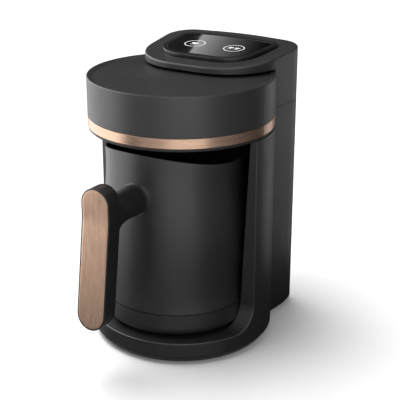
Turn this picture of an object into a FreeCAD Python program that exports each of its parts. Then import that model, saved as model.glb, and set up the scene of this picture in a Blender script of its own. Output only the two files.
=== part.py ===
import FreeCAD, Part
import math
import os

# Electric Turkish coffee maker: a round head over a jug bay, a column behind
# it with a tilted touch platform, and a lift-out jug with a side-pouring rim.
# X is to the right, Y is to the back and Z is up. The pieces are drawn with
# Y = 0 at the centre of the head, and the finished part is set down so that
# its origin is on the floor, midway between the grip and the back.
# All sizes are in millimetres.

V = FreeCAD.Vector
X_AXIS = V(1, 0, 0)
Y_AXIS = V(0, 1, 0)
Z_AXIS = V(0, 0, 1)

# Walls and clearances
wall = 2.4            # moulded housings
arm_skin = 1.8        # the two skins of the side arms
joint_gap = 0.3       # line between two housings
part_gap = 0.3        # between the jug and what it stands on
run_gap = 0.05        # plunger in its sleeve, on the radius
trim_gap = 0.02       # glued and clipped trim beside its seat
bite = 0.2            # how far a post or rib reaches into its wall
near = 0.1            # edges this close to a face belong to it
past = 1.0            # how far a cut runs past the face that it opens

# Floor and base
foot_h = 1.2          # rubber feet below the foot plate
foot_r = 7.0
foot_taper = 0.8
plinth_top = 5.7      # upper edge of the foot plate
plinth_taper = 3.4    # how far the foot plate draws in towards the floor
plinth_in = 0.5       # upper edge of the foot plate inside the base
head_sink = 0.6       # seats of the foot screws
groove_h = 0.7        # shadow line over the foot plate
base_top = 18.5       # deck that the jug stands over
body_r = 75.0         # base, arms and head drum
edge_r = 0.8          # rounding of the visible edges

# Jug bay
cut_y = -9.0          # front face of the side arms
cut_corner_r = 20.0   # where the arms run out into the base
bay_low_r = 61.6      # bay wall at the deck
bay_high_r = 69.2     # bay wall at the head
arm_flange = 2.2      # thickness of the front face of the arms

# Head drum
head_low = 177.0      # foot of the lip
lip_h = 2.5
lip_inset = 0.4
spigot_h = 4.0        # rim of the head floor inside the drum's skirt
head_screw_grip = 4.0
band_h = 8.0
band_t = 1.5
band_bevel = 0.3
head_top = 219.4
dish_depth = 1.5
dish_bevel = 5.0
rim_land = 1.0        # narrow flat on the rim of the dish
head_recess = 5.0     # dome in the head floor over the jug
head_recess_r = 56.0
recess_slope = 8.0    # how far the dome's side leans in
wire_way_w = 28.0     # opening for the leads at the back of the drum
wire_way_h = 14.0
wire_way_z = 200.0

# Column and platform
front_y = 4.0         # front edge of the platform
front_half = 55.3     # half width of the outline at its front corners
back_y = 93.5         # rear corners of the outline
back_half = 64.3
crown_y = 101.5       # point where the two rear faces would meet
front_round = 46.0
back_round = 22.0
crown_round = 230.0
seam_z = 187.7        # line between column shell and cap
cap_front_z = 224.9   # top of the platform at its front edge
cap_tilt = 5.3        # degrees, up towards the back
cap_clear = 0.8       # platform over the rim of the drum
cap_edge_r = 1.4
cap_web = 1.4         # floor of the platform over the drum
cap_hole_in = 1.4     # opening under the display, inside the frame
cap_post_up = 8.0     # foot of the cap's posts over the seam

# Display, drawn as parallel outlines of the platform
pocket_in = 14.6      # dark recess round the frame
pocket_depth = 1.3
frame_in = 15.6
frame_w = 2.8
frame_rise = 2.2      # frame above the platform
skirt_in = 1.6        # skirt that locates the frame in the opening
skirt_h = 1.5
ledge_w = 2.0         # ledge under the edge of the glass
glass_t = 1.6
glass_gap = 0.15
board_t = 1.6
board_in = 21.5
board_drop = 2.8      # touch board under the glass
icon_half = 18.8      # touch rings each side of the middle
icon_y = 50.5
icon_r = 9.4
guide_t = 1.6         # wall of the light guides
buzzer_r = 5.0
buzzer_h = 2.6
buzzer_y = 68.0

# Jug
jug_y = -8.0          # jug axis in front of the drum axis
jug_t = 1.2
jug_seam_z = 39.6
jug_seam_r = 60.2
seam_gap = 0.7        # line between the jug and its foot ring
jug_mid_z = 127.0
jug_mid_r = 58.0
jug_neck_z = 146.0
jug_neck_r = 56.9
jug_rim_z = 168.8     # rim at the front and back
jug_rim_r = 55.3
lip_flare = 3.4       # how far the rim leans out at each side
lip_dip = 9.8         # how far the rim drops at each side
jug_foot_r = 60.6
jug_foot_round = 7.0
jug_ring_t = 1.6
jug_ring_seat = 2.6   # top of the ring slopes up to the seam
pot_bevel = 4.0       # lower corner of the pot
jug_over = 8.0        # the side is drawn this much too high and cut to the rim
spread_r = 46.0
spread_t = 2.0

# Handle
grip_w = 27.0
grip_t = 12.0
grip_top = 157.4
grip_low = 48.6
grip_y = -115.7       # face of the inlay at its upper end
grip_bend_z = 137.0
grip_bend_r = 60.0
grip_lean = 7.8       # degrees
grip_edge_r = 2.6
inlay_t = 1.2
inlay_proud = 0.2     # inlay over the edge of the grip
inlay_border = 1.0
stub_z = 133.7
stub_r = 12.3
collar_t = 1.6
bolt_r = 2.0
bolt_head_r = 4.2

# Heating plate and sensor
heater_r = 42.0
heater_t = 3.5
heater_rise = 1.5     # plate above the deck
seal_w = 1.6
seal_lip = 0.8
seal_rise = 0.3       # seal over the deck
coil_r = 29.0
coil_tube_r = 3.2
coil_flat = 0.4
coil_gap = 40         # degrees left open at the back
strap_w = 12.0
strap_t = 1.6
strap_pad = 4.0       # pads between strap and plate
plunger_r = 4.0
plunger_hole_r = 6.0
plunger_low = 10.2    # foot of the plunger at rest
sleeve_t = 1.4
sleeve_low = 5.0
sleeve_top = 11.8
sleeve_floor = 1.0
sleeve_flange = 1.6   # collar of the sleeve on the strap
strap_z = 7.2         # underside of the strap
strap_reach = 12.0    # strap past the plate at each end
strap_screw_in = 4.0
spring_wire_r = 0.35
spring_turns = 4.0
fuse_x = 12.0
fuse_l = 10.0
fuse_w = 7.0
fuse_h = 3.6
fuse_tab = 3.5
seal_flange = 1.6     # seal under the deck
lead_r = 1.6          # cold ends of the element
lead_low = 4.4

# Power board and fasteners
power_w = 76.0
power_low = 46.0
power_high = 146.0
power_y = 88.0
screw_r = 1.5
screw_head_r = 3.0
screw_head_h = 1.8
slot_w = 0.8
boss_r = 3.6
rib_t = 2.0
board_screw_l = 7.0
gland_r = 5.0
gland_rim = 1.4       # how far the grommet stands out at the back
gland_z = 16.0
gland_flange = 2.0    # flanges each side of the wall
gland_t = 1.6
base_screw_in = 12.5  # foot screws from the outside of the base
column_screw_x = 44.0
column_screw_y = 84.0
column_boss_top = 34.0
cap_post_x = 40.0
head_post_in = 9.5
head_post_h = 12.0    # joint between the posts of the head, over its foot
screw_grip = 12.0     # thread in a post
screw_clear = 0.2
head_clear = 0.3
front_foot_in = 18.0
rear_foot_x = 34.0
rear_foot_y = 80.0
vent_rows = 5
vent_pitch = 9.0
vent_w = 3.0
vent_l = 22.0
vent_x = 30.0
vent_y = -26.0
window_w = 92.0       # opening between the bay wall and the column
window_low = 28.0
window_high = 168.0
clip_t = 1.2          # lip that lines up column and cap
clip_low = 5.0
clip_high = 4.0
clip_gap = 0.15

# Foam sensor in the head
lens_r = 7.0
lens_flange = 2.5
lens_t = 1.5
lens_y = -12.0
lamp_r = 1.9
lamp_h = 3.5
lamp_x = 2.6
foam_board_w = 28.0
foam_board_l = 20.0

# Heights that follow from the sizes
frame_low = plinth_top + groove_h
deck_low = base_top - wall
floor_low = foot_h + wall
plate_top = base_top + heater_rise
plate_low = plate_top - heater_t
jug_low = plate_top + part_gap
jug_floor_z = jug_low + spread_t
lip_top = head_low + lip_h
band_top = lip_top + band_h
drum_floor = head_top - dish_depth
dome_z = head_low + trim_gap + head_recess
under_cap_z = head_top + cap_clear
glass_low = frame_rise - glass_t - near
sleeve_r = plunger_r + run_gap + sleeve_t
bolt_seat = 14.0      # bolt head behind the inlay face

os.makedirs("parts", exist_ok=True)


def cyl(r, low, high, x=0.0, y=0.0):
    """Upright round bar."""
    return Part.makeCylinder(r, high - low, V(x, y, low), Z_AXIS)


def ring(outer, inner, low, high, x=0.0, y=0.0):
    """Upright tube."""
    return cyl(outer, low, high, x, y).cut(cyl(inner, low - 1, high + 1, x, y))


def bar_y(r, y0, y1, x, z):
    """Round bar along Y."""
    return Part.makeCylinder(r, y1 - y0, V(x, y0, z), Y_AXIS)


def block(x0, x1, y0, y1, z0, z1):
    """Rectangular block between two corners."""
    return Part.makeBox(x1 - x0, y1 - y0, z1 - z0, V(x0, y0, z0))


def spun(profile, x=0.0, y=0.0):
    """Solid turned round an upright axis from (radius, height) points."""
    points = [V(x + r, y, z) for r, z in profile]
    face = Part.Face(Part.makePolygon(points + points[:1]))
    return face.revolve(V(x, y, 0), Z_AXIS, 360)


def arc_through(a, b, c):
    """Arc edge through three points."""
    return Part.Arc(a, b, c).toShape()


def joined(shapes):
    """One solid from several that touch or overlap."""
    whole = shapes[0]
    for shape in shapes[1:]:
        whole = whole.fuse(shape)
    return whole.removeSplitter()


def rounded_outline(corners, radii, inset, z):
    """Closed wire with rounded corners, moved inwards by inset.

    Every side moves inwards by inset and every corner keeps its centre, so
    outlines with different insets are parallel.
    """
    count = len(corners)
    lines = []
    for i in range(count):
        ax, ay = corners[i]
        bx, by = corners[(i + 1) % count]
        length = math.hypot(bx - ax, by - ay)
        dx = (bx - ax) / length
        dy = (by - ay) / length
        lines.append((ax - dy * inset, ay + dx * inset, dx, dy))
    tangents = []
    for i in range(count):
        px, py, ux, uy = lines[i - 1]
        qx, qy, vx, vy = lines[i]
        turn = ux * vy - uy * vx
        step = ((qx - px) * vy - (qy - py) * vx) / turn
        cx = px + ux * step
        cy = py + uy * step
        half = math.atan2(turn, ux * vx + uy * vy) / 2
        radius = radii[i] - inset
        reach = radius * math.tan(half)
        bulge = radius / math.cos(half) - radius
        nx = vx - ux
        ny = vy - uy
        size = math.hypot(nx, ny)
        start = V(cx - ux * reach, cy - uy * reach, z)
        middle = V(cx + nx / size * bulge, cy + ny / size * bulge, z)
        end = V(cx + vx * reach, cy + vy * reach, z)
        tangents.append((start, middle, end))
    edges = []
    for i in range(count):
        edges.append(arc_through(*tangents[i]))
        following = tangents[(i + 1) % count][0]
        edges.append(Part.LineSegment(tangents[i][2], following).toShape())
    return Part.Wire(edges)


def column_wire(inset, z):
    """Outline of the column and platform."""
    corners = [
        (-front_half, front_y),
        (front_half, front_y),
        (back_half, back_y),
        (0.0, crown_y),
        (-back_half, back_y),
    ]
    radii = [front_round, front_round, back_round, crown_round, back_round]
    return rounded_outline(corners, radii, inset, z)


def column_solid(inset, low, high):
    """Upright prism of the column outline."""
    return Part.Face(column_wire(inset, low)).extrude(V(0, 0, high - low))


def tilted(shape):
    """Turn a flat-built piece onto the slope of the platform."""
    copy = shape.copy()
    copy.rotate(V(0, front_y, cap_front_z), X_AXIS, cap_tilt)
    return copy


def on_slope(inset, low, high):
    """Prism of the column outline, heights counted from the platform."""
    return tilted(column_solid(inset, cap_front_z + low, cap_front_z + high))


def above_slope(rise):
    """Everything over the platform, from rise above it."""
    side = 2 * body_r
    return tilted(block(-side, side, -side, side, cap_front_z + rise, cap_front_z + rise + side))


def slope_z(y):
    """Height of the platform at a place along its depth."""
    return cap_front_z + (y - front_y) * math.tan(math.radians(cap_tilt))


def front_opening(step):
    """Solid taken away to open the bay at the front, drawn in by step."""
    face_y = cut_y + step
    deck = base_top - step
    radius = cut_corner_r + step
    high = head_low + 10
    front = -body_r - 10
    centre = V(0, face_y - radius, deck + radius)
    diagonal = radius * math.sqrt(0.5)
    edges = [
        Part.LineSegment(V(0, face_y, high), V(0, face_y, deck + radius)).toShape(),
        arc_through(
            V(0, face_y, deck + radius),
            centre + V(0, diagonal, -diagonal),
            V(0, face_y - radius, deck),
        ),
        Part.LineSegment(V(0, face_y - radius, deck), V(0, front, deck)).toShape(),
        Part.LineSegment(V(0, front, deck), V(0, front, high)).toShape(),
        Part.LineSegment(V(0, front, high), V(0, face_y, high)).toShape(),
    ]
    face = Part.Face(Part.Wire(edges))
    face.translate(V(-body_r - 10, 0, 0))
    return face.extrude(V(2 * body_r + 20, 0, 0))


def bay_r(z):
    """Radius of the tapered bay at a height."""
    share = (z - base_top) / (head_low - base_top)
    return bay_low_r + (bay_high_r - bay_low_r) * share


def bay_cone(extra, low, high):
    """Tapered bay, larger by extra all round."""
    r_low = bay_r(low) + extra
    r_high = bay_r(high) + extra
    return Part.makeCone(r_low, r_high, high - low, V(0, 0, low), Z_AXIS)


def spots(radius, angles, y=0.0):
    """Places on a circle, as (x, y)."""
    found = []
    for angle in angles:
        turn = math.radians(angle)
        found.append((radius * math.cos(turn), y + radius * math.sin(turn)))
    return found


strap_half = heater_r + strap_reach
strap_hole = strap_half - strap_screw_in
base_screws = spots(body_r - base_screw_in, (-125, -55, 25, 155))
column_screws = [(-column_screw_x, column_screw_y), (column_screw_x, column_screw_y)]
strap_screws = [(0.0, jug_y - strap_hole), (0.0, jug_y + strap_hole)]
head_posts = spots(body_r - head_post_in, (30, 150, 210, 330))
cap_posts = [(-cap_post_x, column_screw_y), (cap_post_x, column_screw_y)]
board_spots = []
for board_x in (-power_w / 2 + 5, power_w / 2 - 5):
    for board_z in (power_low + 5, power_high - 5):
        board_spots.append((board_x, board_z))


def body_frame():
    """Base ring, side arms and bay wall, hollow and open from below."""
    outer = cyl(body_r, frame_low, head_low)
    shell = outer.cut(front_opening(0.0)).cut(bay_cone(0.0, base_top, head_low + past))
    rims = []
    for edge in shell.Edges:
        box = edge.BoundBox
        on_front = box.YMax < cut_y + near and box.ZMin > base_top - near
        middle = edge.valueAt((edge.FirstParameter + edge.LastParameter) / 2)
        on_skin = abs(math.hypot(middle.x, middle.y) - body_r) < near
        if on_front and on_skin and box.ZMax < head_low + near:
            rims.append(edge)
    shell = shell.makeFillet(edge_r, rims)
    base_room = cyl(body_r - wall, frame_low - past, deck_low)
    arm_room = cyl(body_r - arm_skin, deck_low - past, head_low + past)
    arm_room = arm_room.cut(bay_cone(arm_skin, deck_low - past, head_low + past))
    arm_room = arm_room.cut(front_opening(arm_flange))
    shell = shell.cut(base_room).cut(arm_room)
    half = window_w / 2
    back_window = block(-half, half, 0, body_r + past, window_low, window_high)
    shell = shell.cut(back_window.cut(cyl(body_r - arm_skin - near, window_low, window_high)))
    plate_hole = cyl(heater_r + seal_w, deck_low - past, base_top + past, 0, jug_y)
    shell = shell.cut(plate_hole)
    bosses = []
    for x, y in base_screws:
        bosses.append(cyl(boss_r, floor_low, deck_low + bite, x, y))
    for x, y in strap_screws:
        bosses.append(cyl(boss_r, strap_z + strap_t, deck_low + bite, x, y))
    shell = joined([shell] + bosses)
    for x, y in base_screws:
        shell = shell.cut(cyl(screw_r, floor_low - past, floor_low + screw_grip, x, y))
    for x, y in strap_screws:
        shell = shell.cut(cyl(screw_r, strap_z, deck_low, x, y))
    return shell


def base_plate():
    """Foot plate with a tapered edge, floor slots and screw seats."""
    rise = plinth_top - foot_h
    top_in = plinth_in
    low_in = plinth_in + plinth_taper
    disc = Part.makeCone(body_r - low_in, body_r - top_in, rise, V(0, 0, foot_h), Z_AXIS)
    foot = Part.makeLoft([column_wire(low_in, foot_h), column_wire(top_in, plinth_top)], True, True)
    plate = disc.fuse(foot).removeSplitter()
    hollow = cyl(body_r - low_in - wall, floor_low, plinth_top + past)
    hollow = hollow.fuse(column_solid(low_in + wall, floor_low, plinth_top + past))
    plate = plate.cut(hollow)
    half = vent_l / 2
    for row in range(vent_rows):
        y = vent_y + row * vent_pitch
        for x in (-vent_x, vent_x):
            slot = block(x - half, x + half, y, y + vent_w, foot_h - past, floor_low + past)
            plate = plate.cut(slot)
    for x, y in base_screws + column_screws:
        plate = plate.cut(cyl(screw_r + screw_clear, foot_h - past, floor_low + past, x, y))
        plate = plate.cut(cyl(screw_head_r + head_clear, foot_h - past, foot_h + head_sink, x, y))
    return plate


def rubber_feet():
    """Four pads, pressed against the foot plate."""
    pads = []
    rear = [(-rear_foot_x, rear_foot_y), (rear_foot_x, rear_foot_y)]
    for x, y in spots(body_r - front_foot_in, (-150, -30)) + rear:
        pad = Part.makeCone(foot_r - foot_taper, foot_r, foot_h, V(x, y, 0), Z_AXIS)
        pads.append(pad)
    return Part.makeCompound(pads)


def round_screws(places, seat, tip):
    """Slotted flat-headed screws, driven upwards: head under seat, end at tip."""
    screws = []
    low = seat - screw_head_h
    half = slot_w / 2
    for x, y in places:
        head = cyl(screw_head_r, low, seat, x, y)
        slot = block(x - screw_head_r, x + screw_head_r, y - half, y + half, low - past, low + slot_w)
        stem = cyl(screw_r, seat, tip, x, y)
        screws.append(head.cut(slot).fuse(stem).removeSplitter())
    return Part.makeCompound(screws)


def rear_shell():
    """Column moulding: an open U behind the drum, with board rails."""
    outer = column_solid(0.0, frame_low, seam_z)
    shell = outer.cut(column_solid(wall, frame_low - past, seam_z + past))
    shell = shell.cut(cyl(body_r + joint_gap, frame_low - past, seam_z + past))
    low = seam_z - clip_low
    high = seam_z + clip_high
    clip = column_solid(wall + clip_gap, low, high)
    clip = clip.cut(column_solid(wall + clip_gap + clip_t, low - past, high + past))
    root = column_solid(wall - bite, low, seam_z - past)
    root = root.cut(column_solid(wall + clip_gap + clip_t, low - past, high))
    clip = clip.fuse(root).cut(cyl(body_r + joint_gap + wall + clip_gap, low - past, high + past))
    posts = []
    for x, z in board_spots:
        posts.append(bar_y(boss_r, power_y + board_t, wall_y(x) + 2 * bite, x, z))
    for x, y in column_screws:
        posts.append(cyl(boss_r, floor_low, column_boss_top, x, y))
        ends = sorted((x, math.copysign(back_half, x)))
        rib = block(ends[0], ends[1], y - rib_t / 2, y + rib_t / 2, frame_low, column_boss_top)
        posts.append(rib.common(column_solid(wall - bite, frame_low, column_boss_top)))
    shell = joined([shell, clip] + posts)
    for x, z in board_spots:
        shell = shell.cut(bar_y(screw_r, power_y - past, power_y + board_screw_l + past, x, z))
    for x, y in column_screws:
        shell = shell.cut(cyl(screw_r, floor_low - past, floor_low + screw_grip, x, y))
    return shell.cut(bar_y(gland_r, wall_y(0.0) - past, crown_y, 0, gland_z))


def wall_y(x):
    """Inner face of the column's rear wall at a place across it."""
    slope = (crown_y - back_y) / back_half
    sag = crown_round * (1 / math.cos(math.atan(slope)) - 1)
    return crown_y - wall - max(slope * abs(x), sag)


def column_sag(x):
    """How far the inner face of the rear wall bends forward at a place across it."""
    radius = crown_round - wall
    return radius - math.sqrt(radius * radius - x * x)


def top_cap():
    """Upper column and tilted platform, one shell with a display pocket."""
    high = slope_z(crown_y) + past
    low = seam_z - past
    body = column_solid(0.0, seam_z + joint_gap, high).cut(above_slope(0.0))
    top_edges = []
    for edge in body.Edges:
        middle = edge.valueAt((edge.FirstParameter + edge.LastParameter) / 2)
        box = edge.BoundBox
        if abs(middle.z - slope_z(middle.y)) < near and abs(box.ZMin - slope_z(box.YMin)) < near:
            top_edges.append(edge)
    body = body.makeFillet(cap_edge_r, top_edges)
    body = body.cut(cyl(body_r + joint_gap, low, under_cap_z))
    room = column_solid(wall, low, high).cut(above_slope(-wall))
    room = room.cut(cyl(body_r + joint_gap + wall, low, under_cap_z + cap_web))
    body = body.cut(room)
    body = body.cut(on_slope(pocket_in, -pocket_depth, pocket_depth))
    hole = on_slope(frame_in + cap_hole_in, -wall - past, past)
    body = body.cut(hole.common(column_solid(frame_in, under_cap_z + cap_web, high)))
    posts = []
    for x, y in cap_posts:
        posts.append(cyl(boss_r, seam_z + cap_post_up, slope_z(y) - wall + bite, x, y))
    body = joined([body] + posts)
    for x, y in cap_posts:
        foot = seam_z + cap_post_up
        body = body.cut(cyl(screw_r, foot - past, foot + screw_grip, x, y))
    return body


def display_frame():
    """Raised frame round the touch glass, with a ledge that carries it."""
    rim = on_slope(frame_in, -pocket_depth, frame_rise)
    rim = rim.cut(on_slope(frame_in + frame_w, -pocket_depth - past, frame_rise + past))
    skirt = on_slope(frame_in + skirt_in, -pocket_depth - skirt_h, -pocket_depth + near)
    ledge = skirt.fuse(on_slope(frame_in + skirt_in, -pocket_depth, glass_low))
    ledge = ledge.cut(on_slope(frame_in + frame_w + ledge_w, -pocket_depth - skirt_h - past, frame_rise))
    return joined([rim, ledge])


def display_glass():
    """Touch glass, flush with its frame."""
    return on_slope(frame_in + frame_w + glass_gap, glass_low, glass_low + glass_t)


def touch_rings():
    """Two light guides between the glass and the touch board."""
    guides = []
    high = cap_front_z + glass_low
    for x in (-icon_half, icon_half):
        guides.append(tilted(ring(icon_r, icon_r - guide_t, high - board_drop, high, x, icon_y)))
    return Part.makeCompound(guides)


def touch_board():
    """Circuit board with the two touch fields."""
    high = glass_low - board_drop
    return on_slope(board_in, high - board_t, high)


def head_shell():
    """Drum with a shallow dished top and a skirt that carries the band."""
    skirt_r = body_r - band_t
    profile = [
        (0.0, drum_floor),
        (body_r - dish_bevel, drum_floor),
        (body_r - rim_land, head_top),
        (body_r - edge_r / 2, head_top - edge_r / 5),
        (body_r, head_top - edge_r),
        (body_r, band_top),
        (skirt_r, band_top),
        (skirt_r, lip_top),
        (skirt_r - wall, lip_top),
        (skirt_r - wall, band_top + wall - band_t),
        (body_r - wall, band_top + wall),
        (body_r - wall, drum_floor - wall),
        (0.0, drum_floor - wall),
    ]
    shell = spun(profile)
    foot = head_low + head_post_h
    for x, y in head_posts:
        shell = shell.fuse(cyl(boss_r, foot, drum_floor - wall + bite, x, y))
    shell = shell.removeSplitter()
    for x, y in head_posts:
        shell = shell.cut(cyl(screw_r, foot - past, foot + screw_grip, x, y))
    half = wire_way_w / 2
    low = wire_way_z - wire_way_h / 2
    return shell.cut(block(-half, half, body_r - 2 * wall, body_r + past, low, low + wire_way_h))


def head_band():
    """Brushed copper band, seated on the skirt of the drum."""
    inner = body_r - band_t + trim_gap
    low = lip_top + trim_gap
    high = band_top - trim_gap
    profile = [
        (inner, low),
        (body_r - band_bevel, low),
        (body_r, low + band_bevel),
        (body_r, high - band_bevel),
        (body_r - band_bevel, high),
        (inner, high),
    ]
    return spun(profile)


def head_floor():
    """Dark underside of the head: lip, domed recess and sensor seat."""
    low = head_low + trim_gap
    lip_r = body_r - lip_inset
    spigot_r = body_r - band_t - wall - screw_clear
    profile = [
        (0.0, dome_z),
        (head_recess_r - recess_slope, dome_z),
        (head_recess_r, low),
        (lip_r - edge_r, low),
        (lip_r, low + edge_r),
        (lip_r, lip_top),
        (spigot_r, lip_top),
        (spigot_r, lip_top + spigot_h),
        (spigot_r - wall, lip_top + spigot_h),
        (spigot_r - wall, low + wall),
        (head_recess_r + past, low + wall),
        (head_recess_r - recess_slope + past, dome_z + wall),
        (0.0, dome_z + wall),
    ]
    floor = spun(profile)
    posts = []
    for x, y in head_posts:
        posts.append(cyl(boss_r, low + bite, head_low + head_post_h, x, y))
    floor = joined([floor] + posts)
    for x, y in head_posts:
        seat = head_low + head_post_h - head_screw_grip
        floor = floor.cut(cyl(screw_r + screw_clear, low, head_low + head_post_h + past, x, y))
        floor = floor.cut(cyl(screw_head_r + head_clear, low - past, seat, x, y))
    return floor.cut(cyl(lens_r, low - past, dome_z + wall + past, 0, lens_y))


def foam_window():
    """Clear lens of the foam sensor, flanged on the inside."""
    seat = dome_z + wall
    lens = cyl(lens_r - near, dome_z - bite, seat, 0, lens_y)
    return joined([lens, cyl(lens_r + lens_flange, seat, seat + lens_t, 0, lens_y)])


def foam_board():
    """Sensor board on top of the lens, with its emitter and receiver."""
    seat = dome_z + wall + lens_t
    high = seat + lamp_h
    half_w = foam_board_w / 2
    half_l = foam_board_l / 2
    board = block(-half_w, half_w, lens_y - half_l, lens_y + half_l, high, high + board_t)
    lamps = []
    for x in (-lamp_x, lamp_x):
        lamps.append(cyl(lamp_r, seat, high, x, lens_y))
    return joined([board] + lamps)


def heating_plate():
    """Round plate under the jug, with a hole for the temperature plunger."""
    profile = [
        (plunger_hole_r, plate_low),
        (heater_r, plate_low),
        (heater_r, plate_top - edge_r),
        (heater_r - edge_r, plate_top),
        (plunger_hole_r + edge_r, plate_top),
        (plunger_hole_r, plate_top - edge_r),
    ]
    return spun(profile, 0.0, jug_y)


def plate_seal():
    """Silicone ring that closes the deck round the heating plate."""
    low = deck_low - seal_lip
    outer = heater_r + seal_w
    band = ring(outer, heater_r, low, base_top + seal_rise, 0, jug_y)
    flange = ring(outer + seal_flange, heater_r, low, deck_low, 0, jug_y)
    return joined([band, flange])


def heating_element():
    """Sheathed element bent to an open ring, flattened where it is brazed."""
    centre_z = plate_low - coil_tube_r + coil_flat
    start = 90 + coil_gap / 2
    torus = Part.makeTorus(coil_r, coil_tube_r, V(0, jug_y, centre_z), Z_AXIS, 0, 360, 360 - coil_gap)
    torus.rotate(V(0, jug_y, 0), Z_AXIS, start)
    reach = coil_r + 2 * coil_tube_r
    plate_room = block(-reach, reach, jug_y - reach, jug_y + reach, plate_low, plate_top)
    element = torus.cut(plate_room)
    ends = []
    for x, y in spots(coil_r, (start, start - coil_gap), jug_y):
        ends.append(cyl(lead_r, lead_low, centre_z, x, y))
    return joined([element] + ends)


def plate_strap():
    """Steel strap that clamps the plate from below and holds the sleeve."""
    top = strap_z + strap_t
    half = strap_w / 2
    flat = block(-half, half, jug_y - strap_half, jug_y + strap_half, strap_z, top)
    middle = cyl(sleeve_r + sleeve_flange + past, strap_z, top, 0, jug_y)
    pads = []
    for side in (-1, 1):
        y = jug_y + side * (heater_r - strap_pad)
        half_l = strap_pad / 2
        pads.append(block(-strap_pad, strap_pad, y - half_l, y + half_l, top - near, plate_low))
    strap = joined([flat, middle] + pads)
    for x, y in strap_screws:
        strap = strap.cut(cyl(screw_r + screw_clear, strap_z - past, top + past, x, y))
    return strap.cut(cyl(sleeve_r, strap_z - past, top + past, 0, jug_y))


def sensor_sleeve():
    """Bush that guides the plunger, closed below by the spring seat."""
    seat = strap_z + strap_t
    tube = cyl(sleeve_r, sleeve_low, sleeve_top, 0, jug_y)
    flange = cyl(sleeve_r + sleeve_flange, seat, seat + sleeve_t, 0, jug_y)
    sleeve = joined([tube, flange])
    return sleeve.cut(cyl(plunger_r + run_gap, sleeve_low + sleeve_floor, sleeve_top + past, 0, jug_y))


def sensor_plunger():
    """Sprung cap that presses the temperature sensor to the jug."""
    profile = [
        (0.0, plunger_low),
        (plunger_r, plunger_low),
        (plunger_r, plate_top - sleeve_t),
        (plunger_r - sleeve_t, plate_top),
        (0.0, plate_top),
    ]
    return spun(profile, 0.0, jug_y)


def sensor_spring():
    """Coil spring between the sleeve's floor and the plunger."""
    low = sleeve_low + sleeve_floor + spring_wire_r + trim_gap
    high = plunger_low - spring_wire_r - trim_gap
    coil = plunger_r - 3 * spring_wire_r
    helix = Part.makeHelix((high - low) / spring_turns, high - low, coil)
    start = Part.Wire(Part.makeCircle(spring_wire_r, V(coil, 0, 0), Y_AXIS))
    spring = Part.Wire(helix).makePipeShell([start], True, False)
    spring.translate(V(0, jug_y, low))
    return spring


def thermal_fuse():
    """Fuse held on the underside of the heating plate."""
    right = fuse_x + fuse_l
    half = fuse_w / 2
    body = block(fuse_x, right, jug_y - half, jug_y + half, plate_low - fuse_h, plate_low)
    tab = block(fuse_x - fuse_tab, fuse_x, jug_y - half / 2, jug_y + half / 2, plate_low - strap_t, plate_low)
    return joined([body, tab])


def power_board():
    """Main board, upright on the rear wall."""
    board = block(-power_w / 2, power_w / 2, power_y, power_y + board_t, power_low, power_high)
    for x, z in board_spots:
        board = board.cut(bar_y(screw_r + screw_clear, power_y - past, power_y + board_t + past, x, z))
    return board


def board_screws():
    """Screws of the power board."""
    screws = []
    for x, z in board_spots:
        head = bar_y(screw_head_r, power_y - screw_head_h, power_y, x, z)
        stem = bar_y(screw_r, power_y, power_y + board_screw_l, x, z)
        screws.append(head.fuse(stem).removeSplitter())
    return Part.makeCompound(screws)


def relay():
    """Relay that switches the heating element."""
    return block(-26, -11, power_y - 11, power_y, 60, 80)


def transformer():
    """Small transformer of the low-voltage supply."""
    core = block(-8, 10, power_y - 11, power_y, 100, 120)
    coil = block(-5, 7, power_y - 11.6, power_y, 103, 117)
    return joined([core, coil])


def capacitors():
    """Filter capacitors of the supply."""
    cans = []
    for x, z in ((20.0, 104.0), (20.0, 118.0), (-24.0, 110.0)):
        cans.append(bar_y(4.5, power_y - 10.5, power_y, x, z))
    return Part.makeCompound(cans)


def terminal_block():
    """Screw terminals for the mains lead and the heater leads."""
    block_body = block(6, 30, power_y - 9, power_y, 52, 64)
    for column in range(3):
        x = 10.0 + column * 8.0
        block_body = block_body.cut(Part.makeCylinder(2.2, 4, V(x, power_y - 10, 58), Y_AXIS))
    return block_body


def buzzer():
    """Round sounder on the underside of the touch board."""
    high = frame_rise - glass_t - 0.1 - board_drop - board_t
    return tilted(cyl(5.0, cap_front_z + high - 2.6, cap_front_z + high, 0, 68))


def cord_gland():
    """Grommet where the lead would enter, low in the rear wall."""
    skin = wall_y(0.0)
    back = skin + wall
    end = back + gland_rim
    inner = skin - column_sag(gland_r + gland_flange)
    tube = bar_y(gland_r - run_gap, inner - gland_flange, end, 0, gland_z)
    inside = bar_y(gland_r + gland_flange, inner - gland_flange, inner, 0, gland_z)
    outside = bar_y(gland_r + gland_flange, back, end, 0, gland_z)
    gland = joined([inside, tube, outside])
    return gland.cut(bar_y(gland_r - gland_t, inner - gland_flange - past, end + past, 0, gland_z))


def jug_foot(inset, low):
    """Turned lower jug inside the foot ring, from its floor to the seam."""
    r = jug_seam_r - jug_ring_t - inset
    profile = [
        (0.0, low),
        (r - pot_bevel, low),
        (r, low + pot_bevel),
        (r, jug_seam_z + past),
        (0.0, jug_seam_z + past),
    ]
    return spun(profile, 0.0, jug_y)


def jug_r(z):
    """Radius of the jug's side at a height, without the side lips."""
    knots = [(jug_seam_z, jug_seam_r), (jug_mid_z, jug_mid_r), (jug_neck_z, jug_neck_r), (jug_rim_z, jug_rim_r)]
    for (z0, r0), (z1, r1) in zip(knots, knots[1:]):
        if z <= z1:
            break
    return r0 + (r1 - r0) * (z - z0) / (z1 - z0)


def flare_at(z):
    """How far the sides lean out at a height."""
    share = max(0.0, (z - jug_neck_z) / (jug_rim_z - jug_neck_z))
    return lip_flare * share ** 1.5


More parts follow.
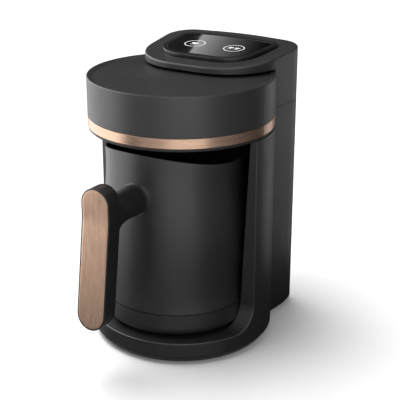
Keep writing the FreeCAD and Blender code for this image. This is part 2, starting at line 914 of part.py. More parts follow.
def level_oval(z, half_x, half_y):
    """Level oval round the jug axis."""
    oval = Part.makeCircle(1.0, V(0, 0, 0), Z_AXIS)
    grow = FreeCAD.Matrix()
    grow.scale(half_x, half_y, 1.0)
    shape = oval.transformGeometry(grow)
    shape.translate(V(0, jug_y, z))
    return Part.Wire(shape.Edges)


def jug_side(inset, low):
    """Side of the jug: round at the foot, opening to an oval rim."""
    heights = [
        low,
        (jug_seam_z + jug_mid_z) / 2,
        jug_mid_z,
        jug_neck_z,
        (jug_neck_z + jug_rim_z) / 2,
        jug_rim_z,
        jug_rim_z + jug_over,
    ]
    sections = []
    for z in heights:
        r = jug_r(z) - inset
        sections.append(level_oval(z, r + flare_at(z), r))
    return Part.makeLoft(sections, True, False)


def rim_cutter():
    """Solid above the rim: its underside is an arch that drops at the sides."""
    side = jug_rim_r + lip_flare
    radius = (side * side + lip_dip * lip_dip) / (2 * lip_dip)
    reach = body_r
    arch = Part.makeCylinder(radius, 2 * reach, V(0, jug_y - reach, jug_rim_z - radius), Y_AXIS)
    space = block(-reach, reach, jug_y - reach, jug_y + reach, jug_mid_z, jug_rim_z + 2 * jug_over)
    return space.cut(arch)


def jug_wall():
    """Pot of the jug, one drawn wall with a low lip at each side."""
    outer = jug_foot(0.0, jug_floor_z).fuse(jug_side(0.0, jug_seam_z))
    inner = jug_foot(jug_t, jug_floor_z + jug_t).fuse(jug_side(jug_t, jug_seam_z + past / 2))
    return outer.cut(inner).cut(rim_cutter())


def jug_base_ring():
    """Foot ring of the jug, under the seam."""
    inner_r = jug_seam_r - jug_ring_t + trim_gap
    rest_r = spread_r + near
    bend = jug_foot_round
    centre_r = jug_foot_r - bend
    diagonal = bend * math.sqrt(0.5)
    corners = [
        V(rest_r, 0, jug_low),
        V(rest_r, 0, jug_floor_z - trim_gap),
        V(inner_r - pot_bevel, 0, jug_floor_z - trim_gap),
        V(inner_r, 0, jug_floor_z + pot_bevel),
        V(inner_r, 0, jug_seam_z - jug_ring_seat),
        V(jug_seam_r - near, 0, jug_seam_z - seam_gap),
        V(jug_foot_r, 0, jug_low + bend),
    ]
    edges = []
    for a, b in zip(corners, corners[1:]):
        edges.append(Part.LineSegment(a, b).toShape())
    toe = V(centre_r, 0, jug_low)
    middle = V(centre_r + diagonal, 0, jug_low + bend - diagonal)
    edges.append(arc_through(corners[-1], middle, toe))
    edges.append(Part.LineSegment(toe, corners[0]).toShape())
    turned = Part.Face(Part.Wire(edges)).revolve(V(0, 0, 0), Z_AXIS, 360)
    turned.translate(V(0, jug_y, 0))
    return turned


def jug_base_disc():
    """Heat-spreading disc under the jug."""
    return cyl(spread_r, jug_low, jug_floor_z, 0, jug_y)


def wall_front_y(z):
    """Outer face of the jug at the front, at a height."""
    return jug_y - jug_r(z)


def jug_hull():
    """Outside of the jug a hair larger, for seating the handle."""
    return jug_side(-run_gap, jug_seam_z)


def grip_face(depth, low, high):
    """Edges of the inlay face moved back by depth, from high to low."""
    y = grip_y + depth
    lean = math.radians(grip_lean)
    centre_y = grip_y - grip_bend_r
    radius = grip_bend_r + depth
    half = lean / 2
    start = V(0, y, grip_bend_z)
    middle = V(0, centre_y + radius * math.cos(half), grip_bend_z - radius * math.sin(half))
    end = V(0, centre_y + radius * math.cos(lean), grip_bend_z - radius * math.sin(lean))
    drop = end.z - low
    foot = V(0, end.y - drop * math.tan(lean), low)
    top = V(0, y, high)
    return [top, start, middle, end, foot]


def grip_slab(front, back, low, high, half):
    """Bar between two depths behind the inlay face, with a width."""
    a = grip_face(front, low, high)
    b = grip_face(back, low, high)
    edges = [
        Part.LineSegment(a[0], a[1]).toShape(),
        arc_through(a[1], a[2], a[3]),
        Part.LineSegment(a[3], a[4]).toShape(),
        Part.LineSegment(a[4], b[4]).toShape(),
        Part.LineSegment(b[4], b[3]).toShape(),
        arc_through(b[3], b[2], b[1]),
        Part.LineSegment(b[1], b[0]).toShape(),
        Part.LineSegment(b[0], a[0]).toShape(),
    ]
    face = Part.Face(Part.Wire(edges))
    face.translate(V(-half, 0, 0))
    return face.extrude(V(2 * half, 0, 0))


def grip_outline(border):
    """Long rounded outline of the grip, seen from the front."""
    r = grip_w / 2 - border
    low = grip_low + grip_w / 2
    high = grip_top - grip_w / 2
    y0 = grip_y - 40
    side = V(0, 80, 0)
    edges = [
        Part.LineSegment(V(r, y0, low), V(r, y0, high)).toShape(),
        arc_through(V(r, y0, high), V(0, y0, high + r), V(-r, y0, high)),
        Part.LineSegment(V(-r, y0, high), V(-r, y0, low)).toShape(),
        arc_through(V(-r, y0, low), V(0, y0, low - r), V(r, y0, low)),
    ]
    return Part.Face(Part.Wire(edges)).extrude(side)


def handle_plate():
    """Brushed copper inlay, let into the face of the grip."""
    slab = grip_slab(-inlay_proud, inlay_t - inlay_proud, grip_low - 2, grip_top + 2, grip_w)
    return slab.common(grip_outline(inlay_border))


def stub_sections():
    """Ovals from the collar into the grip: y, z, half width, half height."""
    back = grip_y + grip_t
    wall_face = wall_front_y(stub_z) - collar_t
    return [
        (wall_face + 3.0, stub_z, stub_r, stub_r),
        (wall_face - 10.0, stub_z + 0.4, stub_r, stub_r + 0.3),
        (wall_face - 22.0, stub_z + 0.9, stub_r + 0.1, stub_r + 1.8),
        (back + 5.0, stub_z + 0.5, stub_r + 0.4, stub_r + 4.5),
        (back - 0.8, stub_z - 3.7, stub_r + 0.7, stub_r + 10.7),
        (back - 6.0, stub_z - 8.7, stub_r + 0.8, stub_r + 16.7),
    ]


def oval_wire(y, z, half_w, half_h):
    """Upright oval across the stub."""
    oval = Part.makeCircle(1.0, V(0, 0, 0), Y_AXIS)
    grow = FreeCAD.Matrix()
    grow.scale(half_w, 1.0, half_h)
    shape = oval.transformGeometry(grow)
    shape.translate(V(0, y, z))
    return Part.Wire(shape.Edges)


def handle_core():
    """Black handle: the grip, and the stub that carries it."""
    slab = grip_slab(0.0, grip_t, grip_low - 2, grip_top + 2, grip_w)
    grip = slab.common(grip_outline(0.0))
    long_edges = []
    for edge in grip.Edges:
        middle = edge.valueAt((edge.FirstParameter + edge.LastParameter) / 2)
        back = grip_face(grip_t, grip_low - 2, grip_top + 2)
        if back_side(middle, back):
            long_edges.append(edge)
    grip = grip.makeFillet(grip_edge_r, long_edges)
    stub = Part.makeLoft([oval_wire(*section) for section in stub_sections()], True, False)
    stub = stub.cut(jug_hull()).cut(collar_space())
    core = joined([grip, stub])
    core = core.cut(handle_plate())
    bolt_y = wall_front_y(stub_z) - collar_t
    core = core.cut(bar_y(bolt_r + 0.1, grip_y - 5, bolt_y + 5, 0, stub_z))
    return core.cut(bar_y(bolt_head_r + 0.2, grip_y - 5, grip_y + bolt_seat, 0, stub_z))


bolt_seat = 14.0


def back_side(point, back):
    """True where a point lies on the rear face of the grip."""
    top, start, middle, end, foot = back
    if point.z >= start.z:
        expected = start.y
    elif point.z >= end.z:
        drop = start.z - point.z
        radius = grip_bend_r + grip_t
        expected = start.y - radius + math.sqrt(radius * radius - drop * drop)
    else:
        expected = end.y - (end.z - point.z) * math.tan(math.radians(grip_lean))
    return abs(point.y - expected) < 0.05


def collar_space():
    """Room for the collar between the stub and the jug."""
    y = wall_front_y(stub_z)
    return bar_y(stub_r + 3, y - collar_t, y + 40, 0, stub_z)


def handle_collar():
    """Thin bright ring between the stub and the jug."""
    y = wall_front_y(stub_z)
    tube = bar_y(stub_r + 0.5, y - collar_t, y + 6, 0, stub_z)
    tube = tube.cut(bar_y(stub_r - 4.0, y - collar_t - 1, y + 7, 0, stub_z))
    return tube.cut(jug_hull())


def handle_stud():
    """Threaded boss welded to the jug, inside the collar."""
    y = wall_front_y(stub_z)
    boss = bar_y(stub_r - 4.6, y - collar_t, y + 6, 0, stub_z).cut(jug_hull())
    return boss.cut(bar_y(bolt_r, y - collar_t - 1, y - 0.3, 0, stub_z))


def handle_bolt():
    """Bolt through the stub into the stud."""
    seat = grip_y + bolt_seat
    y = wall_front_y(stub_z)
    head = bar_y(bolt_head_r, seat - 3.0, seat, 0, stub_z)
    head = head.cut(bar_y(1.8, seat - 4, seat - 1.4, 0, stub_z))
    return joined([head, bar_y(bolt_r, seat - 0.1, y - 0.5, 0, stub_z)])


def strap_bolts():
    """Screws that hold the strap to the deck bosses."""
    return round_screws(strap_screws, strap_z, deck_low - 1.5)


def foot_screws():
    """Screws from the foot plate into the frame and the column."""
    return round_screws_flush(base_screws + column_screws)


def round_screws_flush(places):
    """Screws whose heads sit in the seats of the foot plate."""
    seat = foot_h + 0.6
    screws = []
    for x, y in places:
        head = cyl(screw_head_r, seat - 1.0, seat, x, y)
        stem = cyl(screw_r, seat, seat + 10, x, y)
        screws.append(head.fuse(stem).removeSplitter())
    return Part.makeCompound(screws)


def head_screws():
    """Screws from the head floor up into the drum."""
    seat = head_low + head_post_h - head_screw_grip
    return round_screws(head_posts, seat, seat + screw_grip)


nodes = {
    "body_frame": body_frame,
    "base_plate": base_plate,
    "rubber_feet": rubber_feet,
    "foot_screws": foot_screws,
    "rear_shell": rear_shell,
    "cord_gland": cord_gland,
    "top_cap": top_cap,
    "display_frame": display_frame,
    "display_glass": display_glass,
    "touch_rings": touch_rings,
    "touch_board": touch_board,
    "buzzer": buzzer,
    "head_shell": head_shell,
    "head_band": head_band,
    "head_floor": head_floor,
    "head_screws": head_screws,
    "foam_window": foam_window,
    "foam_board": foam_board,
    "heating_plate": heating_plate,
    "plate_seal": plate_seal,
    "heating_element": heating_element,
    "plate_strap": plate_strap,
    "strap_bolts": strap_bolts,
    "thermal_fuse": thermal_fuse,
    "sensor_sleeve": sensor_sleeve,
    "sensor_plunger": sensor_plunger,
    "sensor_spring": sensor_spring,
    "power_board": power_board,
    "board_screws": board_screws,
    "relay": relay,
    "transformer": transformer,
    "capacitors": capacitors,
    "terminal_block": terminal_block,
    "jug_wall": jug_wall,
    "jug_base_ring": jug_base_ring,
    "jug_base_disc": jug_base_disc,
    "handle_collar": handle_collar,
    "handle_stud": handle_stud,
    "handle_core": handle_core,
    "handle_plate": handle_plate,
    "handle_bolt": handle_bolt,
}

front_most = grip_face(-inlay_proud, grip_low + inlay_border, grip_top)[4].y
back_most = wall_y(0.0) + wall + gland_rim
set_down = V(0, -(front_most + back_most) / 2, 0)
print("set down by", round(set_down.y, 4))

for name, build in nodes.items():
    solid = build()
    solid.translate(set_down)
    solid.exportStep("parts/" + name + ".step")
    print(name, len(solid.Solids), round(solid.Volume, 1), solid.isValid())
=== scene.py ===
import math

import bmesh
import bpy
import numpy as np
from bpy.props import FloatProperty, FloatVectorProperty, PointerProperty
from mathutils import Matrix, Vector


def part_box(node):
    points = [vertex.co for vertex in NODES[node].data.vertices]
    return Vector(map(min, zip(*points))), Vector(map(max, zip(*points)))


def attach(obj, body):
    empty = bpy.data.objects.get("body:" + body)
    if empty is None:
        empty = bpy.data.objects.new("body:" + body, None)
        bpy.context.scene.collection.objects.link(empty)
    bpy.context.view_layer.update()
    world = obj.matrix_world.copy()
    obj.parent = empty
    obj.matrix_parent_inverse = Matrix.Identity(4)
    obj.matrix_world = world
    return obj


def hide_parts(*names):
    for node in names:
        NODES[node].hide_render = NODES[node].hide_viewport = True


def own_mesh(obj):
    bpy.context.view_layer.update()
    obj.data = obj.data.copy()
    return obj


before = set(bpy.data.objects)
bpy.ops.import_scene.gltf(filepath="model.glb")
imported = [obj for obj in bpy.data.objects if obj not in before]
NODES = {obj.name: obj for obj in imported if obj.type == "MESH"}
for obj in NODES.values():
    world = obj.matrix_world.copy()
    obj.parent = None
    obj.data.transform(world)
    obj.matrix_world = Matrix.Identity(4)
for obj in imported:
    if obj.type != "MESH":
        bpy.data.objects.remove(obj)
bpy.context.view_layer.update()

bl_info = {
    "name": "Turkish coffee maker finish",
    "version": (1, 0, 0),
    "blender": (4, 5, 0),
    "location": "3D View > Sidebar > Coffee maker",
    "description": "Finishes, touch symbols and studio for an electric Turkish coffee maker",
    "category": "Object",
}

MM = 0.001

BAND_LOW, BAND_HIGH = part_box("head_band")
DRUM_Y = (BAND_LOW.y + BAND_HIGH.y) / 2

# Platform of the column: how it slopes, and its outline as places across it and
# up its slope from the middle of its front edge, with the radii of its corners
PLATFORM_TILT = math.radians(5.3)
PLATFORM_ACROSS = np.array([1.0, 0.0, 0.0])
PLATFORM_UP = np.array([0.0, math.cos(PLATFORM_TILT), math.sin(PLATFORM_TILT)])
PLATFORM_OUT = np.cross(PLATFORM_ACROSS, PLATFORM_UP)
PLATFORM_CORNERS = np.array([(-55.3, 0.0), (55.3, 0.0), (64.3, 89.5), (0.0, 97.5), (-64.3, 89.5)]) * MM
PLATFORM_RADII = np.array([44.0, 44.0, 24.0, 230.0, 24.0]) * MM
POINTS_PER_ARC = 16
POINTS_PER_SIDE = 12

# Display: its frame and glass, which stand a little higher towards the front
FRAME_INSET = 15.7 * MM
FRAME_WIDTH = 4.4 * MM
FRAME_RISE = 2.15 * MM
POCKET_DEPTH = 1.25 * MM
DISPLAY_FRONT = 15.6 * MM
DISPLAY_BACK = 80.0 * MM
DISPLAY_LIFT = 0.9 * MM
GLASS_GAP = 0.12 * MM
GLASS_SINK = 0.15 * MM
GLASS_FOOT = 0.1 * MM

# Broken edges, as steps (inwards from the edge, down from the top)
FRAME_OUTER_EDGE = (
    (0.0, 0.86 * MM),
    (0.08 * MM, 0.45 * MM),
    (0.28 * MM, 0.15 * MM),
    (0.65 * MM, 0.0),
)
FRAME_INNER_EDGE = ((0.35 * MM, 0.0), (0.12 * MM, 0.08 * MM), (0.0, 0.3 * MM))
GLASS_EDGE = ((0.0, 0.3 * MM), (0.1 * MM, 0.08 * MM), (0.3 * MM, 0.0), (0.8 * MM, 0.0))

# Touch symbols: where they stand, and the width and depth of one cup and of two
RING_SIDE = 18.8 * MM
RING_PLACE = 46.5 * MM
CUP_SIZES = {1: (5.4 * MM, 3.6 * MM), 2: (3.5 * MM, 2.7 * MM)}
CUP_PITCH = 5.8 * MM
CUP_TOP = 2.2 * MM
EAR_BALANCE = 0.5 * MM
SAUCER_DROP = 1.2 * MM

# Ear and saucer as shares of their cup's depth and width, how far the ear turns,
# and the gap under the print as a share of its thickness
EAR_RADIUS = 0.28
EAR_DROP = 0.4
EAR_TURN = math.radians(100)
SAUCER_HALF = 0.55
PRINT_GAP = 0.2

# Handle: the grip, the curve of its face, and the stub that carries it
GRIP_LOW, GRIP_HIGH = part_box("handle_core")
GRIP_HALF = GRIP_HIGH.x - 0.9 * MM
GRIP_THICK = 15.0 * MM
GRIP_EDGE = 2.6 * MM
GRIP_POINTS = 200
FACE_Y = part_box("handle_plate")[1].y - 1.0 * MM
FACE_BEND_Z = 137.0 * MM
FACE_BEND_R = 60.0 * MM
FACE_LEAN = math.radians(7.8)
STUB_Z = 133.7 * MM
STUB_R = 12.3 * MM
STUB_WAIST = 11.2 * MM
STUB_EDGE = ((0.5 * MM, 0.0), (0.15 * MM, 0.1 * MM), (0.0, 0.4 * MM))

# Saddle between stub and grip: its size above the stub, and what is added below
SADDLE_WIDTH = (5.0 * MM, 14.0 * MM)
SADDLE_LENGTH = (6.0 * MM, 17.0 * MM)
SADDLE_TURN = 0.45
SADDLE_ROOM = 0.85

# Rings of the handle down its stub, round its saddle, over its back and round its edge
STUB_STEPS = 8
SADDLE_STEPS = 14
BACK_STEPS = 12
EDGE_STEPS = 6

# Rings over the grip's face, as (inset from its outline, depth behind its face)
INLAY_INSET = 1.0 * MM
INLAY_EDGE = INLAY_INSET + 0.05 * MM
SEAT_PROFILE = (
    (0.0, 0.5 * MM),
    (0.04 * MM, 0.3 * MM),
    (0.15 * MM, 0.12 * MM),
    (0.4 * MM, 0.0),
    (INLAY_INSET - 0.06 * MM, 0.0),
    (INLAY_INSET, 0.1 * MM),
    (INLAY_INSET, 0.9 * MM),
    (6.0 * MM, 1.0 * MM),
    (GRIP_HALF, 1.0 * MM),
)
INLAY_PROFILE = (
    (GRIP_HALF, 0.8 * MM),
    (2.0 * MM, 0.8 * MM),
    (INLAY_EDGE, 0.8 * MM),
    (INLAY_EDGE, 0.2 * MM),
    (INLAY_EDGE + 0.1 * MM, 0.05 * MM),
    (INLAY_EDGE + 0.35 * MM, 0.0),
    (3.0 * MM, 0.0),
    (6.0 * MM, 0.0),
    (GRIP_HALF, 0.0),
)

# Spring of the temperature sensor: the thickness of its wire and its number of turns
SPRING_WIRE = 0.35 * MM
SPRING_TURNS = 4.0

# Finishes: patches and specks in a metre, coarse lines for each fine line of a
# brushed metal, and what else their patterns share
GLOSS_PATCHES = 34.0
SMEAR_PATCHES = 90.0
PRINT_SPECKS = 2600.0
PRINT_GLOW = 0.35
COARSE_LINES = 0.28
FINE_SHARE = 0.6
# Share by which the inlay's copper is made lighter than the band's: painted light standing in for the
# brighter reflection the inlay shows
INLAY_PAINTED_LIGHT = 1.22
TRACK_PITCH = 3.2 * MM
TRACK_RELIEF = 0.04 * MM

# Part of a noise's range that is spread over a pattern's whole range
NOISE_SPAN = (0.3, 0.7)

# Floor: how white it is, and how much is added where it is seen
FLOOR_WHITE = 0.90
FLOOR_LIFT = 0.08

# Tent that only reflections see: its shape, the strength of its panels by their
# angle round the object from the camera, and its fall towards the object
TENT_INNER = 0.078
TENT_OUTER = 1.6
TENT_HEIGHT = 2.2
TENT_CURVE = 1.6
TENT_CLEAR = 0.4 * MM
TENT_PANELS = (
    (-180, 0.02),
    (-158, 0.05),
    (-140, 1.75),
    (-76, 1.75),
    (-64, 0.20),
    (-50, 0.20),
    (-45, 0.42),
    (-18, 0.50),
    (-13, 1.02),
    (26, 1.02),
    (33, 0.28),
    (80, 0.11),
    (106, 0.03),
    (140, 0.10),
    (160, 0.02),
    (180, 0.02),
)
TENT_PEAK = 1.75
TENT_NEAR = (0.10, 0.50)
TENT_NEAR_SHARE = 0.12
TENT_FAR = (0.60, 1.20)
TENT_FAR_SHARE = 1.9

# Panel that the column's side mirrors: its place, its size and its glow
SIDE_TURN = math.radians(116)
SIDE_AWAY = 0.09
SIDE_WIDTH = 0.075
SIDE_LOW = 0.001
SIDE_HIGH = 0.24
SIDE_GLOW = (0.42, 0.9)
SIDE_GLOW_TOP = 0.2

# Card that the glass mirrors: the slanted edge of its reflection, how far the
# reflection runs to the right, how it fades, and how far away the card stands
CARD_START = np.array([-10.1, 25.9]) * MM
CARD_END = np.array([-25.5, 66.4]) * MM
CARD_SPAN = (-1.2, 1.9)
CARD_RUN = 75.0 * MM
CARD_AWAY = 1.2
CARD_GLOW = 1.35
CARD_FADE = 2.5


# Settings that a user of the panel would change

class FinishSettings(bpy.types.PropertyGroup):
    """Colours and surface of the finishes."""

    shell: FloatVectorProperty(
        name="Housing", description="Satin moulded housing", subtype="COLOR",
        size=3, min=0.0, max=1.0, default=(0.0135, 0.0135, 0.0140))
    jug: FloatVectorProperty(
        name="Jug", description="Matt coating of the jug", subtype="COLOR",
        size=3, min=0.0, max=1.0, default=(0.0125, 0.0125, 0.0130))
    handle: FloatVectorProperty(
        name="Handle", description="Black core of the handle", subtype="COLOR",
        size=3, min=0.0, max=1.0, default=(0.009, 0.009, 0.010))
    copper: FloatVectorProperty(
        name="Copper", description="Brushed copper of the band and inlay", subtype="COLOR",
        size=3, min=0.0, max=1.0, default=(0.66, 0.44, 0.32))
    glass: FloatVectorProperty(
        name="Glass", description="Printed back of the touch glass", subtype="COLOR",
        size=3, min=0.0, max=1.0, default=(0.002, 0.002, 0.002))
    grain: FloatProperty(
        name="Grain", description="Size of the moulded grain", subtype="DISTANCE",
        unit="LENGTH", min=0.0001, max=0.002, default=0.00035, precision=5)


class SymbolSettings(bpy.types.PropertyGroup):
    """Touch symbols printed on the glass."""

    ring_radius: FloatProperty(
        name="Ring", description="Middle radius of the printed ring", subtype="DISTANCE",
        unit="LENGTH", min=0.004, max=0.012, default=0.0085, precision=4)
    ring_width: FloatProperty(
        name="Ring line", description="Width of the ring's line", subtype="DISTANCE",
        unit="LENGTH", min=0.0002, max=0.002, default=0.00072, precision=5)
    line_width: FloatProperty(
        name="Cup line", description="Width of the cup's lines", subtype="DISTANCE",
        unit="LENGTH", min=0.0002, max=0.002, default=0.00065, precision=5)
    print_height: FloatProperty(
        name="Print", description="Thickness of the print", subtype="DISTANCE",
        unit="LENGTH", min=0.00002, max=0.0002, default=0.00005, precision=6)
    colour: FloatVectorProperty(
        name="Print colour", description="White print of the symbols", subtype="COLOR",
        size=3, min=0.0, max=1.0, default=(0.80, 0.80, 0.80))


class StudioSettings(bpy.types.PropertyGroup):
    """Floor, lights and camera."""

    view_azimuth: FloatProperty(
        name="View", description="Camera position round the object", subtype="ANGLE",
        unit="ROTATION", default=math.radians(31.99))
    view_elevation: FloatProperty(
        name="View height", description="Camera above the horizon", subtype="ANGLE",
        unit="ROTATION", default=math.radians(19.75))
    distance: FloatProperty(
        name="Distance", description="Camera to the point it looks at", subtype="DISTANCE",
        unit="LENGTH", default=0.805)
    aim: FloatVectorProperty(
        name="Aim", description="Point the camera looks at", subtype="XYZ", unit="LENGTH",
        size=3, default=(0.0156, 0.0159, 0.1312))
    lens: FloatProperty(
        name="Lens", description="Focal length for a 36 mm frame, in millimetres", default=88.95)
    rise: FloatProperty(
        name="Rise", description="Vertical shift of the lens", default=-0.05)
    key_power: FloatProperty(
        name="Key light", description="Strength of the key light", min=0.0, default=3.2)
    key_side: FloatProperty(
        name="Key side", description="Key light round the object, from the camera", subtype="ANGLE",
        unit="ROTATION", default=math.radians(-115.0))
    key_height: FloatProperty(
        name="Key height", description="Key light above the horizon", subtype="ANGLE",
        unit="ROTATION", default=math.radians(71.0))
    key_size: FloatProperty(
        name="Key size", description="Angle that the key light fills", subtype="ANGLE",
        unit="ROTATION", default=math.radians(42.0))
    ambient: FloatProperty(
        name="Fill", description="Even light from all round", min=0.0, default=0.30)
    floor_radius: FloatProperty(
        name="Floor", description="Radius of the floor", subtype="DISTANCE", unit="LENGTH",
        default=6.0)


def settings():
    """The three groups of settings of the scene."""
    scene = bpy.context.scene
    return scene.maker_finish, scene.maker_symbols, scene.maker_studio


# Surfaces worked out with numpy

def add(name, data):
    """New object in the scene."""
    obj = bpy.data.objects.new(name, data)
    bpy.context.scene.collection.objects.link(obj)
    return obj


def surface(name, grid, around=False, along=False, ends=False, crease=None):
    """Mesh object from a grid of points (rows, columns, 3).

    Each face joins four neighbours. around closes the rows' own ring, along
    joins the last row to the first, and ends closes both ends of a tube.
    Points that meet in a pole or seam become one. crease is the angle, in
    degrees, up to which neighbouring faces are shaded as one curve.
    """
    rows, columns = grid.shape[:2]
    i = np.arange(rows if along else rows - 1)[:, None]
    j = np.arange(columns if around else columns - 1)[None, :]
    near = i * columns
    far = (i + 1) % rows * columns
    after = (j + 1) % columns
    quads = np.stack([near + j, near + after, far + after, far + j], axis=-1)
    faces = quads.reshape(-1, 4).tolist()
    if ends:
        ring = np.arange(columns)
        faces.append(ring[::-1].tolist())
        faces.append((ring + (rows - 1) * columns).tolist())
    mesh = bpy.data.meshes.new(name)
    mesh.from_pydata(grid.reshape(-1, 3).tolist(), [], faces)
    shape = bmesh.new()
    shape.from_mesh(mesh)
    bmesh.ops.remove_doubles(shape, verts=shape.verts, dist=1e-7)
    bmesh.ops.recalc_face_normals(shape, faces=shape.faces)
    shape.to_mesh(mesh)
    shape.free()
    if crease is not None:
        mesh.shade_smooth()
        mesh.set_sharp_from_angle(angle=math.radians(crease))
    mesh.update()
    return add(name, mesh)


def parallel_loop(inset):
    """Outline of the platform moved inwards by inset, as points (N, 2).

    Each corner is an arc round a fixed centre, whose radius shrinks by the
    inset, and the sides join the arcs in straight lines.
    """
    side = np.roll(PLATFORM_CORNERS, -1, axis=0) - PLATFORM_CORNERS
    side /= np.linalg.norm(side, axis=1, keepdims=True)
    inward = np.stack([-side[:, 1], side[:, 0]], axis=1)
    before = np.roll(inward, 1, axis=0)
    share = (before * inward).sum(axis=1)
    centre = PLATFORM_CORNERS + (before + inward) * (PLATFORM_RADII / (1.0 + share))[:, None]
    start = np.arctan2(-before[:, 1], -before[:, 0])[:, None]
    angle = start + np.arccos(share)[:, None] * np.linspace(0.0, 1.0, POINTS_PER_ARC)
    reach = (PLATFORM_RADII - inset)[:, None, None]
    arcs = centre[:, None, :] + reach * np.stack([np.cos(angle), np.sin(angle)], axis=-1)
    step = np.linspace(0.0, 1.0, POINTS_PER_SIDE + 2)[1:-1][None, :, None]
    sides = arcs[:, -1:, :] * (1.0 - step) + np.roll(arcs[:, :1, :], -1, axis=0) * step
    return np.concatenate([arcs, sides], axis=1).reshape(-1, 2)


def platform_front():
    """Point at the middle of the platform's front edge."""
    mesh = NODES["top_cap"].data
    points = np.empty(len(mesh.vertices) * 3)
    mesh.vertices.foreach_get("co", points)
    height = (points.reshape(-1, 3) @ PLATFORM_OUT).max()
    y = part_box("top_cap")[0].y
    return np.array([0.0, y, (height - y * PLATFORM_OUT[1]) / PLATFORM_OUT[2]])


PLATFORM_FRONT = platform_front()


def on_platform(x, s, rise):
    """Points in space from places on the platform.

    x runs across, s up the slope from the front edge, and rise out of it.
    What stands over the platform is lifted a little more at the front, in
    proportion to its distance from the rear of the display.
    """
    x, s, rise = np.broadcast_arrays(x, s, rise)
    lift = DISPLAY_LIFT * (DISPLAY_BACK - s) / (DISPLAY_BACK - DISPLAY_FRONT)
    height = rise + np.where(rise > 0.0, lift, 0.0)
    flat = PLATFORM_FRONT + x[..., None] * PLATFORM_ACROSS + s[..., None] * PLATFORM_UP
    return flat + height[..., None] * PLATFORM_OUT


def display_rows(profile):
    """Rings from a profile of (inset, rise) carried round the outline."""
    loops = [(parallel_loop(inset), rise) for inset, rise in profile]
    return np.stack([on_platform(loop[:, 0], loop[:, 1], rise) for loop, rise in loops])


def frame_surface():
    """Display frame: a ring whose section is closed, with both edges broken."""
    inner = FRAME_INSET + FRAME_WIDTH
    profile = [(FRAME_INSET, -POCKET_DEPTH)]
    profile += [(FRAME_INSET + inwards, FRAME_RISE - down) for inwards, down in FRAME_OUTER_EDGE]
    profile += [(inner - inwards, FRAME_RISE - down) for inwards, down in FRAME_INNER_EDGE]
    profile += [(inner, -POCKET_DEPTH)]
    return surface("display_rim", display_rows(profile), around=True, along=True, crease=32)


def glass_surface():
    """Touch glass: a plate inside the frame, closed over the middle of its foot
    and of its top."""
    edge = FRAME_INSET + FRAME_WIDTH + GLASS_GAP
    face = FRAME_RISE - GLASS_SINK
    profile = [(edge, GLASS_FOOT)]
    profile += [(edge + inwards, face - down) for inwards, down in GLASS_EDGE]
    rows = display_rows(profile)
    top = rows[-1:]
    middle = top.mean(axis=1, keepdims=True)
    foot = rows[:1].mean(axis=1, keepdims=True) + 0.0 * top
    grid = np.concatenate([foot, rows, (middle + top) / 2, middle + 0.0 * top])
    return surface("touch_plate", grid, around=True, crease=32)


def ribbon(name, path, width, height, centre_x, closed):
    """Printed line on the glass: a flat bar carried along a path.

    Each section is the path's point moved by half the width to both sides of
    its direction, at the bottom and the top of the print. The width may change
    along the path.
    """
    if closed:
        step = np.roll(path, -1, axis=0) - np.roll(path, 1, axis=0)
    else:
        step = np.gradient(path, axis=0)
    step = step / np.linalg.norm(step, axis=1, keepdims=True)
    half = np.broadcast_to(width, len(path))[:, None] / 2
    side = np.stack([-step[:, 1], step[:, 0]], axis=1) * half
    low = FRAME_RISE - GLASS_SINK + PRINT_GAP * height
    high = FRAME_RISE - GLASS_SINK + height
    bars = [(path - side, low), (path - side, high), (path + side, high), (path + side, low)]
    grid = [on_platform(centre_x + bar[:, 0], RING_PLACE + bar[:, 1], rise) for bar, rise in bars]
    return surface(name, np.stack(grid, axis=1), around=True, along=closed, ends=not closed)


def circle(radius, count=96):
    """Points at equal angles on a circle."""
    turn = np.linspace(0.0, 2 * math.pi, count, endpoint=False)
    return np.stack([radius * np.cos(turn), radius * np.sin(turn)], axis=1)


def cup_bowl(width, depth, x, y, count=24):
    """Filled cup seen from the side: a path down its middle, and the width along
    it. At the share t of the depth the width is multiplied by the root of
    1 - 0.86 t^2.6, which leaves steep walls over a rounded foot."""
    share = np.linspace(0.0, 1.0, count)
    path = np.stack([x + 0.0 * share, y - depth * share], axis=1)
    return path, width * np.sqrt(1.0 - 0.86 * share ** 2.6)


def cup_ear(radius, x, y, count=24):
    """Ear of the cup: the outer part of a circle beside its wall."""
    turn = np.linspace(EAR_TURN, -EAR_TURN, count)
    return np.stack([x + radius * np.cos(turn), y + radius * np.sin(turn)], axis=1)


def straight(x0, x1, y, count=4):
    """Level line."""
    x = np.linspace(x0, x1, count)
    return np.stack([x, np.full(count, y)], axis=1)


def cup_lines(cups, line):
    """Paths and widths of the cups in one ring, by name."""
    width, depth = CUP_SIZES[cups]
    foot = CUP_TOP - depth - SAUCER_DROP
    lines = {}
    for number in range(cups):
        x = (number - (cups - 1) / 2) * CUP_PITCH - EAR_BALANCE
        ear = cup_ear(EAR_RADIUS * depth, x + width / 2, CUP_TOP - EAR_DROP * depth)
        saucer = straight(x - SAUCER_HALF * width, x + SAUCER_HALF * width, foot)
        lines["bowl_%d" % number] = cup_bowl(width, depth, x, CUP_TOP)
        lines["ear_%d" % number] = (ear, line)
        lines["saucer_%d" % number] = (saucer, line)
    return lines


def face_y(z, behind):
    """Depth of the grip's face at each height, moved behind it.

    Straight down to the bend, then an arc whose centre lies in front, then a
    straight line that leans out.
    """
    drop = np.clip(FACE_BEND_Z - z, 0.0, None)
    radius = FACE_BEND_R + behind
    on_arc = np.minimum(drop, radius * math.sin(FACE_LEAN))
    arc = np.sqrt(radius ** 2 - on_arc ** 2) - FACE_BEND_R
    return FACE_Y + arc - (drop - on_arc) * math.tan(FACE_LEAN)


def on_grip(plan, behind):
    """Points in space from places (x, z) on the grip, at a depth behind its face."""
    return np.stack([plan[:, 0], face_y(plan[:, 1], behind), plan[:, 1]], axis=1)


